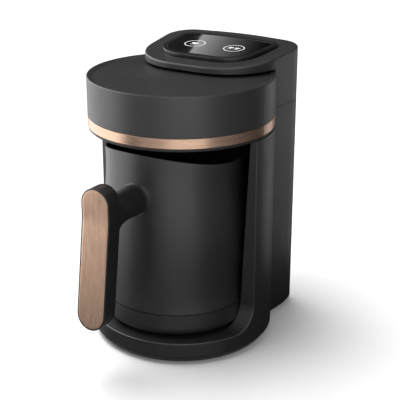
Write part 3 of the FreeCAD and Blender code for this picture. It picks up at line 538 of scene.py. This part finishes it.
def grip_loop(inset):
    """Outline of the grip from the front, as (x, z) points at even steps.

    Two straight sides and two half circles, moved inwards by inset along the
    outline's own normals. It starts at the top and turns to the left.
    """
    low = GRIP_LOW.z + GRIP_HALF
    high = GRIP_HIGH.z - GRIP_HALF
    run = high - low
    quarter = math.pi * GRIP_HALF / 2
    bottom_start = quarter + run
    bottom_end = bottom_start + 2 * quarter
    right_end = bottom_end + run
    d = np.linspace(0.0, right_end + quarter, GRIP_POINTS, endpoint=False)
    bends = np.minimum(d, quarter) + np.clip(d - bottom_start, 0.0, 2 * quarter)
    bends = bends + np.clip(d - right_end, 0.0, quarter)
    angle = math.pi / 2 + bends / GRIP_HALF
    fall = np.clip(d - quarter, 0.0, run) - np.clip(d - bottom_end, 0.0, run)
    reach = GRIP_HALF - inset
    return np.stack([reach * np.cos(angle), high - fall + reach * np.sin(angle)], axis=1)


def reach_of_grip(turn):
    """Distance from the stub's axis to the grip's outline in each direction.

    turn is counted from straight up. The ray meets a side or an end circle,
    whichever its height says.
    """
    sine = np.maximum(np.abs(np.sin(turn)), 1e-6)
    cosine = np.cos(turn)
    side = GRIP_HALF / sine
    up = GRIP_HIGH.z - GRIP_HALF - STUB_Z
    down = STUB_Z - GRIP_LOW.z - GRIP_HALF
    centre = np.where(cosine > 0, up, down)
    past = np.sqrt(np.maximum(GRIP_HALF ** 2 - (centre * sine) ** 2, 0.0))
    cap = centre * np.abs(cosine) + past
    return np.where(side * np.abs(cosine) <= centre, side, cap)


def steps(end, count):
    """Even steps from nought to the end, without nought itself."""
    return np.linspace(0.0, end, count + 1)[1:]


def handle_surface():
    """Black core of the handle: stub, saddle and grip in one skin.

    Each row is a ring. The stub is a round tube. Its rings then widen along a
    quarter ellipse into the back of the grip, wide below the stub and narrow
    above it, run out to the grip's outline, round over to its side, and turn
    in over the face to a seat under the inlay.
    """
    stub_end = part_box("handle_core")[1].y
    stub_start = stub_end - STUB_EDGE[-1][1]
    from_stub = grip_loop(0.0) - np.array([0.0, STUB_Z])
    true_turn = np.unwrap(np.arctan2(-from_stub[:, 0], from_stub[:, 1]))
    even_turn = np.linspace(0.0, 2 * math.pi, GRIP_POINTS, endpoint=False)
    turn = SADDLE_TURN * true_turn + (1.0 - SADDLE_TURN) * even_turn
    room = reach_of_grip(turn) - STUB_WAIST
    below = 0.5 - 0.5 * np.cos(turn)
    width = np.minimum(SADDLE_WIDTH[0] + SADDLE_WIDTH[1] * below ** 2,
                       SADDLE_ROOM * (room - np.minimum(GRIP_EDGE, 0.5 * room)))
    length = SADDLE_LENGTH[0] + SADDLE_LENGTH[1] * below ** 1.5

    def stub_ring(radius, y):
        """Ring round the stub's axis."""
        ring = (-np.sin(turn) * radius, y, STUB_Z + np.cos(turn) * radius)
        return np.stack(np.broadcast_arrays(*ring), axis=1)

    rows = [stub_ring(0.0, stub_end)]
    rows += [stub_ring(STUB_R - inset, stub_end - back) for inset, back in STUB_EDGE]
    waist = stub_ring(STUB_WAIST, 0.0)
    tube_end = face_y(waist[:, 2], GRIP_THICK) + length
    for share in steps(1.0, STUB_STEPS):
        radius = STUB_R + (STUB_WAIST - STUB_R) * share
        rows.append(stub_ring(radius, stub_start * (1.0 - share) + tube_end * share))
    for bend in steps(math.pi / 2, SADDLE_STEPS):
        ring = stub_ring(STUB_WAIST + width * (1.0 - math.cos(bend)), 0.0)
        ring[:, 1] = face_y(ring[:, 2], GRIP_THICK) + length * (1.0 - math.sin(bend))
        rows.append(ring)
    plan = rows[-1][:, [0, 2]]
    away = np.hypot(from_stub[:, 0], from_stub[:, 1])
    edge = np.minimum(GRIP_EDGE, 0.5 * np.maximum(away - STUB_WAIST, 0.0))
    for share in steps(1.0, BACK_STEPS):
        rows.append(on_grip(plan * (1.0 - share) + grip_loop(edge) * share, GRIP_THICK))
    for bend in steps(math.pi / 2, EDGE_STEPS):
        ring = on_grip(grip_loop(edge * (1.0 - math.sin(bend))), GRIP_THICK)
        ring[:, 1] -= edge * (1.0 - math.cos(bend))
        rows.append(ring)
    rows += [on_grip(grip_loop(inset), behind) for inset, behind in SEAT_PROFILE]
    return surface("handle_skin", np.stack(rows), around=True, crease=38)


def inlay_surface():
    """Metal inlay: the grip's outline moved inwards, with a fine broken edge,
    following the curve of the face and closed over its middle line."""
    rows = [on_grip(grip_loop(inset), behind) for inset, behind in INLAY_PROFILE]
    return surface("inlay_plate", np.stack(rows), around=True, crease=20)


def spring_surface(low, high, per_turn=40, around=12):
    """Sensor spring: a round wire along a helix.

    The helix climbs evenly between the box's bottom and top, and each section
    is a circle of the wire's radius across the helix's direction.
    """
    coil = (high.x - low.x) / 2 - SPRING_WIRE
    turn = np.linspace(0.0, 2 * math.pi * SPRING_TURNS, int(SPRING_TURNS * per_turn) + 1)[:, None]
    rise = (high.z - low.z - 2 * SPRING_WIRE) / (2 * math.pi * SPRING_TURNS)
    outward = np.concatenate([np.cos(turn), np.sin(turn), 0.0 * turn], axis=1)
    ahead = np.concatenate([-coil * np.sin(turn), coil * np.cos(turn), rise + 0.0 * turn], axis=1)
    ahead /= np.linalg.norm(ahead, axis=1, keepdims=True)
    upward = np.cross(outward, ahead)
    foot = np.array([(low.x + high.x) / 2, (low.y + high.y) / 2, low.z + SPRING_WIRE])
    middle = foot + coil * outward + np.array([0.0, 0.0, rise]) * turn
    section = np.linspace(0.0, 2 * math.pi, around, endpoint=False)[None, :, None]
    ring = np.cos(section) * outward[:, None, :] + np.sin(section) * upward[:, None, :]
    grid = middle[:, None, :] + SPRING_WIRE * ring
    return surface("spring_coil", grid, around=True, ends=True, crease=40)


def towards(azimuth, elevation):
    """Unit vector from the object to a place round it; azimuth 0 is in front."""
    flat = math.cos(elevation)
    return Vector((math.sin(azimuth) * flat, -math.cos(azimuth) * flat, math.sin(elevation)))


def floor_surface(radius, rings=24, spokes=96):
    """Flat floor: rings whose radii grow with the square of their number."""
    r = radius * np.linspace(1.0, 0.0, rings + 1)[:, None] ** 2
    turn = np.linspace(0.0, 2 * math.pi, spokes, endpoint=False)
    grid = np.stack([r * np.cos(turn), r * np.sin(turn), 0.0 * r * turn], axis=-1)
    return surface("floor", grid, around=True)


def tent_surface(columns=120, rows=48):
    """Studio tent: a sheet that runs outwards over the floor and bends up.

    With a from nought to a right angle, the radius grows with the sine of a
    and the height with a power of one minus its cosine.
    """
    turn = np.linspace(0.0, 2 * math.pi, columns, endpoint=False)
    bend = np.linspace(0.0, math.pi / 2, rows)[:, None]
    r = TENT_INNER + (TENT_OUTER - TENT_INNER) * np.sin(bend)
    z = TENT_CLEAR + TENT_HEIGHT * (1.0 - np.cos(bend)) ** TENT_CURVE
    grid = np.stack([r * np.cos(turn), DRUM_Y + r * np.sin(turn), z + 0.0 * turn], axis=-1)
    return surface("tent", grid, around=True)


def side_panel(facing, columns=8, rows=16):
    """Upright flat panel beside the column: straight across, turned to face it."""
    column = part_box("rear_shell")[1]
    start = Vector((column.x, 0.5 * (BAND_HIGH.y + column.y), 0.0))
    centre = start + towards(facing, 0.0) * SIDE_AWAY
    u = np.linspace(-SIDE_WIDTH / 2, SIDE_WIDTH / 2, columns)
    z = np.linspace(SIDE_LOW, SIDE_HIGH, rows)[:, None]
    grid = np.stack(np.broadcast_arrays(
        centre.x + u * math.cos(facing), centre.y + u * math.sin(facing), z), axis=-1)
    return surface("side_panel", grid)


def glass_card(camera_place, columns=24, rows=20):
    """Card whose reflection lights the right part of the glass.

    Points of the glass on a grid, from a slanted line towards the right, are
    joined with the camera. The rays are mirrored in the plane of the glass,
    and the card is where they meet a plane across their mean direction. Its
    attribute fade grows from nought at the line to one at the right.
    """
    slope = on_platform(0.0, np.array([DISPLAY_FRONT, DISPLAY_BACK]), FRAME_RISE)
    out = np.cross(PLATFORM_ACROSS, slope[1] - slope[0])
    out /= np.linalg.norm(out)
    share = np.linspace(0.0, 1.0, columns)[None, :]
    along = np.linspace(*CARD_SPAN, rows)[:, None]
    edge = CARD_START + (CARD_END - CARD_START) * along
    glass = on_platform(edge[:, :1] + CARD_RUN * share, edge[:, 1:], FRAME_RISE)
    ray = glass - np.array(camera_place)
    ray /= np.linalg.norm(ray, axis=-1, keepdims=True)
    ray -= 2.0 * (ray @ out)[..., None] * out
    mean = ray.mean(axis=(0, 1))
    mean /= np.linalg.norm(mean)
    centre = glass.mean(axis=(0, 1)) + CARD_AWAY * mean
    reach = ((centre - glass) @ mean) / (ray @ mean)
    card = surface("glass_card", glass + reach[..., None] * ray)
    fade = card.data.attributes.new("fade", "FLOAT", "POINT")
    fade.data.foreach_set("value", (share + 0.0 * along).ravel())
    return card


# Node trees

def feed(node, inputs):
    """Give a node's inputs their values or links."""
    for key, value in inputs.items():
        socket = node.inputs[key]
        if isinstance(value, bpy.types.NodeSocket):
            node.id_data.links.new(value, socket)
        else:
            socket.default_value = value


def make(tree, kind, inputs, **options):
    """New node with its options set and its inputs fed."""
    node = tree.nodes.new(kind)
    for key, value in options.items():
        setattr(node, key, value)
    feed(node, inputs)
    return node


def maths(tree, operation, a, b):
    """Result of a Math node."""
    return make(tree, "ShaderNodeMath", {0: a, 1: b}, operation=operation).outputs[0]


def spread(tree, value, low, high, from_low=0.0, from_high=1.0, curve="LINEAR"):
    """Value moved from one range to another."""
    ranges = {"Value": value, "From Min": from_low, "From Max": from_high, "To Min": low, "To Max": high}
    return make(tree, "ShaderNodeMapRange", ranges, interpolation_type=curve).outputs["Result"]


def noise(tree, place, scale, detail):
    """Result of a Noise node."""
    inputs = {"Vector": place, "Scale": scale, "Detail": detail}
    return make(tree, "ShaderNodeTexNoise", inputs).outputs["Fac"]


def bumps(tree, height, depth):
    """Normal from a height."""
    return make(tree, "ShaderNodeBump", {"Height": height, "Distance": depth, "Strength": 1.0}).outputs[0]


def toned(tree, colour, tone):
    """Colour made lighter and darker by a tone over the surface."""
    inputs = {0: tuple(colour), "Scale": tone}
    return make(tree, "ShaderNodeVectorMath", inputs, operation="SCALE").outputs[0]


def object_place(tree):
    """Object coordinates."""
    return tree.nodes.new("ShaderNodeTexCoord").outputs["Object"]


def finish_group(name, measure, kind, default):
    """New group of a finish, with its input and output nodes.

    It takes a place, a measure of its pattern and the smoothest and roughest
    gloss, and gives a height, a tone and a roughness.
    """
    tree = bpy.data.node_groups.new(name, "ShaderNodeTree")
    taken = (
        ("Place", "NodeSocketVector", (0, 0, 0)),
        (measure, kind, default),
        ("Smooth", "NodeSocketFloat", 0.4),
        ("Rough", "NodeSocketFloat", 0.5),
    )
    for label, socket_kind, value in taken:
        socket = tree.interface.new_socket(name=label, in_out="INPUT", socket_type=socket_kind)
        socket.default_value = value
    for label in ("Height", "Tone", "Roughness"):
        tree.interface.new_socket(name=label, in_out="OUTPUT", socket_type="NodeSocketFloat")
    return tree, tree.nodes.new("NodeGroupInput").outputs, tree.nodes.new("NodeGroupOutput")


def moulded_grain():
    """Group: fine spark-eroded grain and the uneven gloss of a moulding."""
    name = "moulded_grain"
    if name in bpy.data.node_groups:
        return bpy.data.node_groups[name]
    tree, given, result = finish_group(name, "Size", "NodeSocketFloat", 0.4 * MM)
    fine = noise(tree, given["Place"], maths(tree, "DIVIDE", 1.0, given["Size"]), 2.0)
    broad = noise(tree, given["Place"], GLOSS_PATCHES, 3.0)
    feed(result, {
        "Height": fine,
        "Tone": spread(tree, fine, 0.88, 1.12),
        "Roughness": spread(tree, broad, given["Smooth"], given["Rough"], *NOISE_SPAN),
    })
    return tree


def brushed_lines():
    """Group: hair lines of a brushed metal.

    Lines is how many lines there are in a metre along each axis, so that a
    small number along the brushing stretches them.
    """
    name = "brushed_lines"
    if name in bpy.data.node_groups:
        return bpy.data.node_groups[name]
    tree, given, result = finish_group(name, "Lines", "NodeSocketVector", (30, 30, 3000))
    scaled = {0: given["Place"], 1: given["Lines"]}
    stretched = make(tree, "ShaderNodeVectorMath", scaled, operation="MULTIPLY").outputs[0]
    fine = noise(tree, stretched, 1.0, 3.0)
    coarse = noise(tree, stretched, COARSE_LINES, 2.0)
    both = maths(tree, "ADD", maths(tree, "MULTIPLY", fine, FINE_SHARE),
                 maths(tree, "MULTIPLY", coarse, 1.0 - FINE_SHARE))
    feed(result, {
        "Height": both,
        "Tone": spread(tree, both, 0.78, 1.18, *NOISE_SPAN),
        "Roughness": spread(tree, coarse, given["Smooth"], given["Rough"], *NOISE_SPAN),
    })
    return tree


def bare_material(name):
    """New material with an empty tree, and the tree."""
    material = bpy.data.materials.new(name)
    material.use_nodes = True
    material.node_tree.nodes.clear()
    return material, material.node_tree


def show(tree, shader, kind="ShaderNodeOutputMaterial"):
    """Join a shader to the output of its tree."""
    make(tree, kind, {"Surface": shader.outputs[0]})


def glow(tree, strength):
    """White light of a strength."""
    return make(tree, "ShaderNodeEmission", {"Color": (1, 1, 1, 1), "Strength": strength})


def new_material(name):
    """Material with only a Principled shader, and its tree and shader."""
    material, tree = bare_material(name)
    shader = tree.nodes.new("ShaderNodeBsdfPrincipled")
    show(tree, shader)
    return material, tree, shader


def patterned(name, group, measure, pattern, colour, gloss, relief):
    """Material whose colour, gloss and relief follow a finish's group."""
    material, tree, shader = new_material(name)
    inputs = {"Place": object_place(tree), measure: pattern, "Smooth": gloss[0], "Rough": gloss[1]}
    grain = make(tree, "ShaderNodeGroup", inputs, node_tree=group).outputs
    feed(shader, {
        "Base Color": toned(tree, colour, grain["Tone"]),
        "Roughness": grain["Roughness"],
        "Normal": bumps(tree, grain["Height"], relief),
    })
    return material, shader


def moulded(name, colour, gloss, size, relief, coat=0.0, metallic=0.0, mirror=0.5):
    """Moulded plastic, rubber, a casting or a sprayed coating with a fine grain."""
    material, shader = patterned(name, moulded_grain(), "Size", size, colour, gloss, relief)
    feed(shader, {"Metallic": metallic, "Coat Weight": coat, "Specular IOR Level": mirror})
    return material


def brushed(name, colour, gloss, lines, relief):
    """Brushed or turned metal."""
    material, shader = patterned(name, brushed_lines(), "Lines", lines, colour, gloss, relief)
    feed(shader, {"Metallic": 1.0})
    return material


def polished_glass(name, colour):
    """Black glass: hard gloss with a faint unevenness from wiping."""
    material, tree, shader = new_material(name)
    smear = noise(tree, object_place(tree), SMEAR_PATCHES, 4.0)
    feed(shader, {
        "Roughness": spread(tree, smear, 0.02, 0.05, 0.35, 0.75),
        "Base Color": (*colour, 1.0),
        "IOR": 1.5,
    })
    return material


def printed(name, colour, strength):
    """Opaque white print, lit a little from behind."""
    material, tree, shader = new_material(name)
    speck = noise(tree, object_place(tree), PRINT_SPECKS, 2.0)
    shade = toned(tree, colour, spread(tree, speck, 0.9, 1.05, *NOISE_SPAN))
    feed(shader, {
        "Base Color": shade,
        "Emission Color": shade,
        "Emission Strength": strength,
        "Roughness": 0.5,
    })
    return material


def laminate(name, green, track_pitch):
    """Lacquered circuit board: tracks show as paler lines under the lacquer."""
    material, tree, shader = new_material(name)
    inputs = {"Vector": object_place(tree), "Scale": 1.0 / track_pitch}
    cells = make(tree, "ShaderNodeTexVoronoi", inputs, distance="MANHATTAN")
    track = spread(tree, cells.outputs["Distance"], 1.5, 0.85, 0.25, 0.4)
    feed(shader, {
        "Base Color": toned(tree, green, track),
        "Normal": bumps(tree, track, TRACK_RELIEF),
        "Roughness": 0.3,
    })
    return material


def dress(material, *names):
    """Give a finish to CAD nodes, in every slot of their objects."""
    for name in names:
        if name not in NODES:
            raise RuntimeError("no piece named " + name)
        obj = NODES[name]
        if not obj.material_slots:
            obj.data.materials.append(material)
        for slot in obj.material_slots:
            slot.material = material


def mount(obj, material, body, node=None):
    """Put a made piece on its body, in place of a CAD node where one is named."""
    obj.data.materials.append(material)
    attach(obj, body)
    if node:
        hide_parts(node)


# Studio

def seen_directly(tree):
    """One where the camera, a reflection or a view through glass meets it."""
    path = tree.nodes.new("ShaderNodeLightPath").outputs
    seen = maths(tree, "MAXIMUM", path["Is Camera Ray"], path["Is Glossy Ray"])
    return maths(tree, "MAXIMUM", seen, path["Is Transmission Ray"])


def floor_material():
    """White floor that keeps the shadow; what the camera and reflections see
    of it is lifted a little towards white."""
    material, tree = bare_material("floor_white")
    white = (FLOOR_WHITE, FLOOR_WHITE, FLOOR_WHITE, 1.0)
    paper = make(tree, "ShaderNodeBsdfDiffuse", {"Color": white, "Roughness": 0.0})
    lift = glow(tree, maths(tree, "MULTIPLY", seen_directly(tree), FLOOR_LIFT))
    show(tree, make(tree, "ShaderNodeAddShader", {0: paper.outputs[0], 1: lift.outputs[0]}))
    return material


def tent_material(view):
    """Inside of the tent: bright and dark panels round the object.

    The angle round the object starts at the camera's side, and the ramp turns
    it into the strength of the panel that stands there. The tent is darker
    close to the object and brighter far away.
    """
    material, tree = bare_material("tent_panels")
    seat = make(tree, "ShaderNodeSeparateXYZ", {0: object_place(tree)})
    x = seat.outputs["X"]
    y = maths(tree, "SUBTRACT", seat.outputs["Y"], DRUM_Y)
    right = maths(tree, "ADD", maths(tree, "MULTIPLY", x, math.cos(view)),
                  maths(tree, "MULTIPLY", y, math.sin(view)))
    front = maths(tree, "SUBTRACT", maths(tree, "MULTIPLY", x, math.sin(view)),
                  maths(tree, "MULTIPLY", y, math.cos(view)))
    turn = maths(tree, "ARCTAN2", right, front)
    ramp = make(tree, "ShaderNodeValToRGB", {0: spread(tree, turn, 0.0, 1.0, -math.pi, math.pi)})
    stops = ramp.color_ramp.elements
    for number, (degrees, strength) in enumerate(TENT_PANELS):
        position = degrees / 360 + 0.5
        stop = stops[number] if number < len(stops) else stops.new(position)
        stop.position = position
        grey = strength / TENT_PEAK
        stop.color = (grey, grey, grey, 1.0)
    flat = make(tree, "ShaderNodeCombineXYZ", {0: x, 1: y}).outputs[0]
    away = make(tree, "ShaderNodeVectorMath", {0: flat}, operation="LENGTH").outputs["Value"]
    near = spread(tree, away, TENT_NEAR_SHARE * TENT_PEAK, TENT_PEAK, *TENT_NEAR, curve="SMOOTHSTEP")
    far = spread(tree, away, 1.0, TENT_FAR_SHARE, *TENT_FAR, curve="SMOOTHSTEP")
    distance = maths(tree, "MULTIPLY", near, far)
    show(tree, glow(tree, maths(tree, "MULTIPLY", ramp.outputs["Color"], distance)))
    return material


def side_material():
    """Glowing panel that is weak at its foot and strong at its top."""
    material, tree = bare_material("side_glow")
    height = make(tree, "ShaderNodeSeparateXYZ", {0: object_place(tree)}).outputs["Z"]
    show(tree, glow(tree, spread(tree, height, *SIDE_GLOW, 0.0, SIDE_GLOW_TOP)))
    return material


def card_material():
    """Glowing card that fades with its attribute."""
    material, tree = bare_material("glass_glow")
    fade = make(tree, "ShaderNodeAttribute", {}, attribute_name="fade").outputs["Fac"]
    left = maths(tree, "POWER", maths(tree, "SUBTRACT", 1.0, fade), CARD_FADE)
    show(tree, glow(tree, maths(tree, "MULTIPLY", left, CARD_GLOW)))
    return material


def mirror_only(obj, material):
    """Let only reflections see a glowing piece of the studio."""
    obj.data.materials.append(material)
    for ray in ("camera", "diffuse", "transmission", "volume_scatter", "shadow"):
        setattr(obj, "visible_" + ray, False)


def build_world(ambient):
    """Even fill light, and pure white where the camera or a reflection sees it."""
    world = bpy.data.worlds.new("studio")
    world.use_nodes = True
    bpy.context.scene.world = world
    tree = world.node_tree
    tree.nodes.clear()
    fill = make(tree, "ShaderNodeBackground", {"Color": (1, 1, 1, 1), "Strength": ambient})
    white = make(tree, "ShaderNodeBackground", {"Color": (1, 1, 1, 1), "Strength": 1.0})
    mix = {0: seen_directly(tree), 1: fill.outputs[0], 2: white.outputs[0]}
    show(tree, make(tree, "ShaderNodeMixShader", mix), "ShaderNodeOutputWorld")


# Operators

class MAKER_OT_housing(bpy.types.Operator):
    """Satin housing, dark underside and rubber parts"""

    bl_idname = "maker.housing"
    bl_label = "Dress the housing"

    def execute(self, context):
        finish, _, _ = settings()
        grain = finish.grain
        shell = moulded("shell_satin", finish.shell, (0.40, 0.46), grain, 0.012 * MM, mirror=0.75)
        dress(shell, "body_frame", "rear_shell", "top_cap", "head_shell")
        under = moulded("under_black", (0.010, 0.010, 0.010), (0.45, 0.55), grain, 0.02 * MM)
        dress(under, "base_plate", "head_floor")
        rubber = moulded("foot_rubber", (0.016, 0.016, 0.016), (0.75, 0.85), 0.6 * MM, 0.03 * MM)
        dress(rubber, "rubber_feet", "cord_gland")
        return {"FINISHED"}


class MAKER_OT_display(bpy.types.Operator):
    """Frame, black touch glass and light guides.

    The frame and the glass are drawn with their roundings, and stand in for
    the plain solids."""

    bl_idname = "maker.display"
    bl_label = "Dress the display"

    def execute(self, context):
        finish, _, _ = settings()
        trim = moulded("display_trim", (0.005, 0.005, 0.0055), (0.26, 0.34), finish.grain, 0.004 * MM)
        glass = polished_glass("touch_glass", finish.glass)
        guide = moulded("light_guide", (0.75, 0.75, 0.73), (0.30, 0.40), 0.5 * MM, 0.01 * MM)
        mount(frame_surface(), trim, "machine", "display_frame")
        mount(glass_surface(), glass, "machine", "display_glass")
        dress(guide, "touch_rings")
        return {"FINISHED"}


class MAKER_OT_symbols(bpy.types.Operator):
    """Print a ring and one or two cups over each touch field"""

    bl_idname = "maker.symbols"
    bl_label = "Print the symbols"

    def execute(self, context):
        _, symbols, _ = settings()
        white = printed("symbol_print", symbols.colour, PRINT_GLOW)
        for label, side, cups in (("one", -1, 1), ("two", 1, 2)):
            lines = {"ring": (circle(symbols.ring_radius), symbols.ring_width)}
            lines.update(cup_lines(cups, symbols.line_width))
            for part, (path, width) in lines.items():
                name = "symbol_" + label + "_" + part
                line = ribbon(name, path, width, symbols.print_height, side * RING_SIDE, part == "ring")
                mount(line, white, "machine")
        return {"FINISHED"}


class MAKER_OT_copper(bpy.types.Operator):
    """Brushed copper band and handle inlay"""

    bl_idname = "maker.copper"
    bl_label = "Dress the copper"

    def execute(self, context):
        finish, _, _ = settings()
        band = brushed("copper_band", finish.copper, (0.24, 0.32), (200.0, 200.0, 5200.0), 0.0035 * MM)
        dress(band, "head_band")
        # The band's copper made lighter for the inlay: painted light for its brighter reflection
        lit_copper = [INLAY_PAINTED_LIGHT * value for value in finish.copper]
        inlay = brushed("copper_inlay", lit_copper, (0.34, 0.42), (4200.0, 260.0, 260.0), 0.003 * MM)
        mount(inlay_surface(), inlay, "jug", "handle_plate")
        return {"FINISHED"}


class MAKER_OT_jug(bpy.types.Operator):
    """Coated jug, black handle and steel collar"""

    bl_idname = "maker.jug"
    bl_label = "Dress the jug"

    def execute(self, context):
        finish, _, _ = settings()
        coating = moulded("jug_coating", finish.jug, (0.36, 0.42), 0.3 * MM, 0.008 * MM, mirror=0.75)
        dress(coating, "jug_wall", "jug_base_ring")
        black = moulded("handle_black", finish.handle, (0.34, 0.42), 0.4 * MM, 0.01 * MM)
        mount(handle_surface(), black, "jug", "handle_core")
        collar = brushed("collar_steel", (0.42, 0.42, 0.43), (0.22, 0.30), (60.0, 3000.0, 60.0), 0.002 * MM)
        dress(collar, "handle_collar", "handle_stud")
        disc = brushed("disc_steel", (0.55, 0.54, 0.53), (0.28, 0.40), (1500.0, 30.0, 1500.0), 0.004 * MM)
        dress(disc, "jug_base_disc")
        return {"FINISHED"}


class MAKER_OT_heater(bpy.types.Operator):
    """Heating plate, seal, element, strap and sensor.

    The sensor's spring is drawn as a coil."""

    bl_idname = "maker.heater"
    bl_label = "Dress the heater"

    def execute(self, context):
        cast = moulded("plate_aluminium", (0.58, 0.58, 0.59), (0.34, 0.48), 0.5 * MM, 0.01 * MM, metallic=1.0)
        dress(cast, "heating_plate", "sensor_plunger")
        seal = moulded("seal_silicone", (0.045, 0.042, 0.040), (0.5, 0.6), 0.6 * MM, 0.01 * MM)
        dress(seal, "plate_seal")
        tube = brushed("element_steel", (0.42, 0.41, 0.40), (0.32, 0.5), (300.0, 300.0, 900.0), 0.008 * MM)
        dress(tube, "heating_element", "plate_strap")
        sleeve = moulded("sleeve_plastic", (0.55, 0.53, 0.48), (0.4, 0.5), 0.5 * MM, 0.01 * MM)
        dress(sleeve, "sensor_sleeve")
        fuse = moulded("fuse_body", (0.62, 0.60, 0.55), (0.45, 0.6), 0.4 * MM, 0.01 * MM)
        dress(fuse, "thermal_fuse")
        low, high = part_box("sensor_spring")
        wire = brushed("spring_steel", (0.50, 0.50, 0.50), (0.3, 0.4), (900.0, 900.0, 900.0), 0.002 * MM)
        spring = spring_surface(low, high)
        mount(spring, wire, "machine", "sensor_spring")
        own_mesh(spring)
        return {"FINISHED"}


class MAKER_OT_electronics(bpy.types.Operator):
    """Boards and their components"""

    bl_idname = "maker.electronics"
    bl_label = "Dress the electronics"

    def execute(self, context):
        board = laminate("board_green", (0.018, 0.11, 0.045), TRACK_PITCH)
        dress(board, "power_board", "touch_board", "foam_board")
        case = moulded("component_black", (0.014, 0.014, 0.015), (0.35, 0.5), 0.4 * MM, 0.01 * MM)
        dress(case, "relay", "buzzer", "transformer")
        can = moulded("can_sleeve", (0.02, 0.03, 0.07), (0.25, 0.35), 0.5 * MM, 0.005 * MM)
        dress(can, "capacitors")
        block = moulded("terminal_green", (0.05, 0.20, 0.10), (0.4, 0.5), 0.5 * MM, 0.01 * MM)
        dress(block, "terminal_block")
        lens = moulded("sensor_lens", (0.05, 0.012, 0.012), (0.06, 0.12), 2.0 * MM, 0.004 * MM, coat=0.5)
        dress(lens, "foam_window")
        return {"FINISHED"}


class MAKER_OT_fasteners(bpy.types.Operator):
    """Screws and bolts"""

    bl_idname = "maker.fasteners"
    bl_label = "Dress the fasteners"

    def execute(self, context):
        zinc = brushed("screw_steel", (0.50, 0.50, 0.51), (0.26, 0.4), (900.0, 900.0, 900.0), 0.004 * MM)
        dress(zinc, "foot_screws", "head_screws", "strap_bolts", "board_screws", "handle_bolt")
        return {"FINISHED"}


class MAKER_OT_stage(bpy.types.Operator):
    """Floor, reflected panels, key light, fill light and camera"""

    bl_idname = "maker.stage"
    bl_label = "Build the studio"

    def execute(self, context):
        _, _, studio = settings()
        view = studio.view_azimuth
        floor = floor_surface(studio.floor_radius)
        floor.data.materials.append(floor_material())
        mirror_only(tent_surface(), tent_material(view))
        mirror_only(side_panel(view + SIDE_TURN), side_material())
        build_world(studio.ambient)
        key = add("key_light", bpy.data.lights.new("key_light", "SUN"))
        key.data.energy = studio.key_power
        key.data.angle = studio.key_size
        key_from = towards(view + studio.key_side, studio.key_height)
        key.rotation_euler = key_from.to_track_quat("Z", "Y").to_euler()
        key.visible_glossy = False
        camera = add("camera", bpy.data.cameras.new("camera"))
        back = towards(view, studio.view_elevation)
        camera.location = Vector(studio.aim) + back * studio.distance
        camera.rotation_euler = back.to_track_quat("Z", "Y").to_euler()
        camera.data.lens = studio.lens
        camera.data.sensor_width = 36.0
        camera.data.shift_y = studio.rise
        camera.data.clip_start = 0.01
        camera.data.clip_end = 50.0
        mirror_only(glass_card(camera.location), card_material())
        context.scene.camera = camera
        context.scene.view_settings.view_transform = "Standard"
        return {"FINISHED"}


class MAKER_PT_panel(bpy.types.Panel):
    """Sidebar panel with the steps and their settings."""

    bl_idname = "MAKER_PT_panel"
    bl_label = "Coffee maker"
    bl_space_type = "VIEW_3D"
    bl_region_type = "UI"
    bl_category = "Coffee maker"

    def draw(self, context):
        layout = self.layout
        for group in settings():
            box = layout.box()
            for key in group.bl_rna.properties.keys():
                if key not in ("rna_type", "name"):
                    box.prop(group, key)
        for step in STEPS:
            layout.operator(step.bl_idname)


STEPS = (
    MAKER_OT_housing,
    MAKER_OT_display,
    MAKER_OT_symbols,
    MAKER_OT_copper,
    MAKER_OT_jug,
    MAKER_OT_heater,
    MAKER_OT_electronics,
    MAKER_OT_fasteners,
    MAKER_OT_stage,
)
CLASSES = (FinishSettings, SymbolSettings, StudioSettings) + STEPS + (MAKER_PT_panel,)


def register():
    """Register the classes and hang the settings on the scene."""
    for cls in CLASSES:
        bpy.utils.register_class(cls)
    bpy.types.Scene.maker_finish = PointerProperty(type=FinishSettings)
    bpy.types.Scene.maker_symbols = PointerProperty(type=SymbolSettings)
    bpy.types.Scene.maker_studio = PointerProperty(type=StudioSettings)


def unregister():
    """Take the settings and classes away again."""
    del bpy.types.Scene.maker_studio
    del bpy.types.Scene.maker_symbols
    del bpy.types.Scene.maker_finish
    for cls in reversed(CLASSES):
        bpy.utils.unregister_class(cls)


def main():
    """Run every step in order."""
    register()
    bpy.ops.maker.housing()
    bpy.ops.maker.display()
    bpy.ops.maker.symbols()
    bpy.ops.maker.copper()
    bpy.ops.maker.jug()
    bpy.ops.maker.heater()
    bpy.ops.maker.electronics()
    bpy.ops.maker.fasteners()
    bpy.ops.maker.stage()


if __name__ == "__main__":
    main()
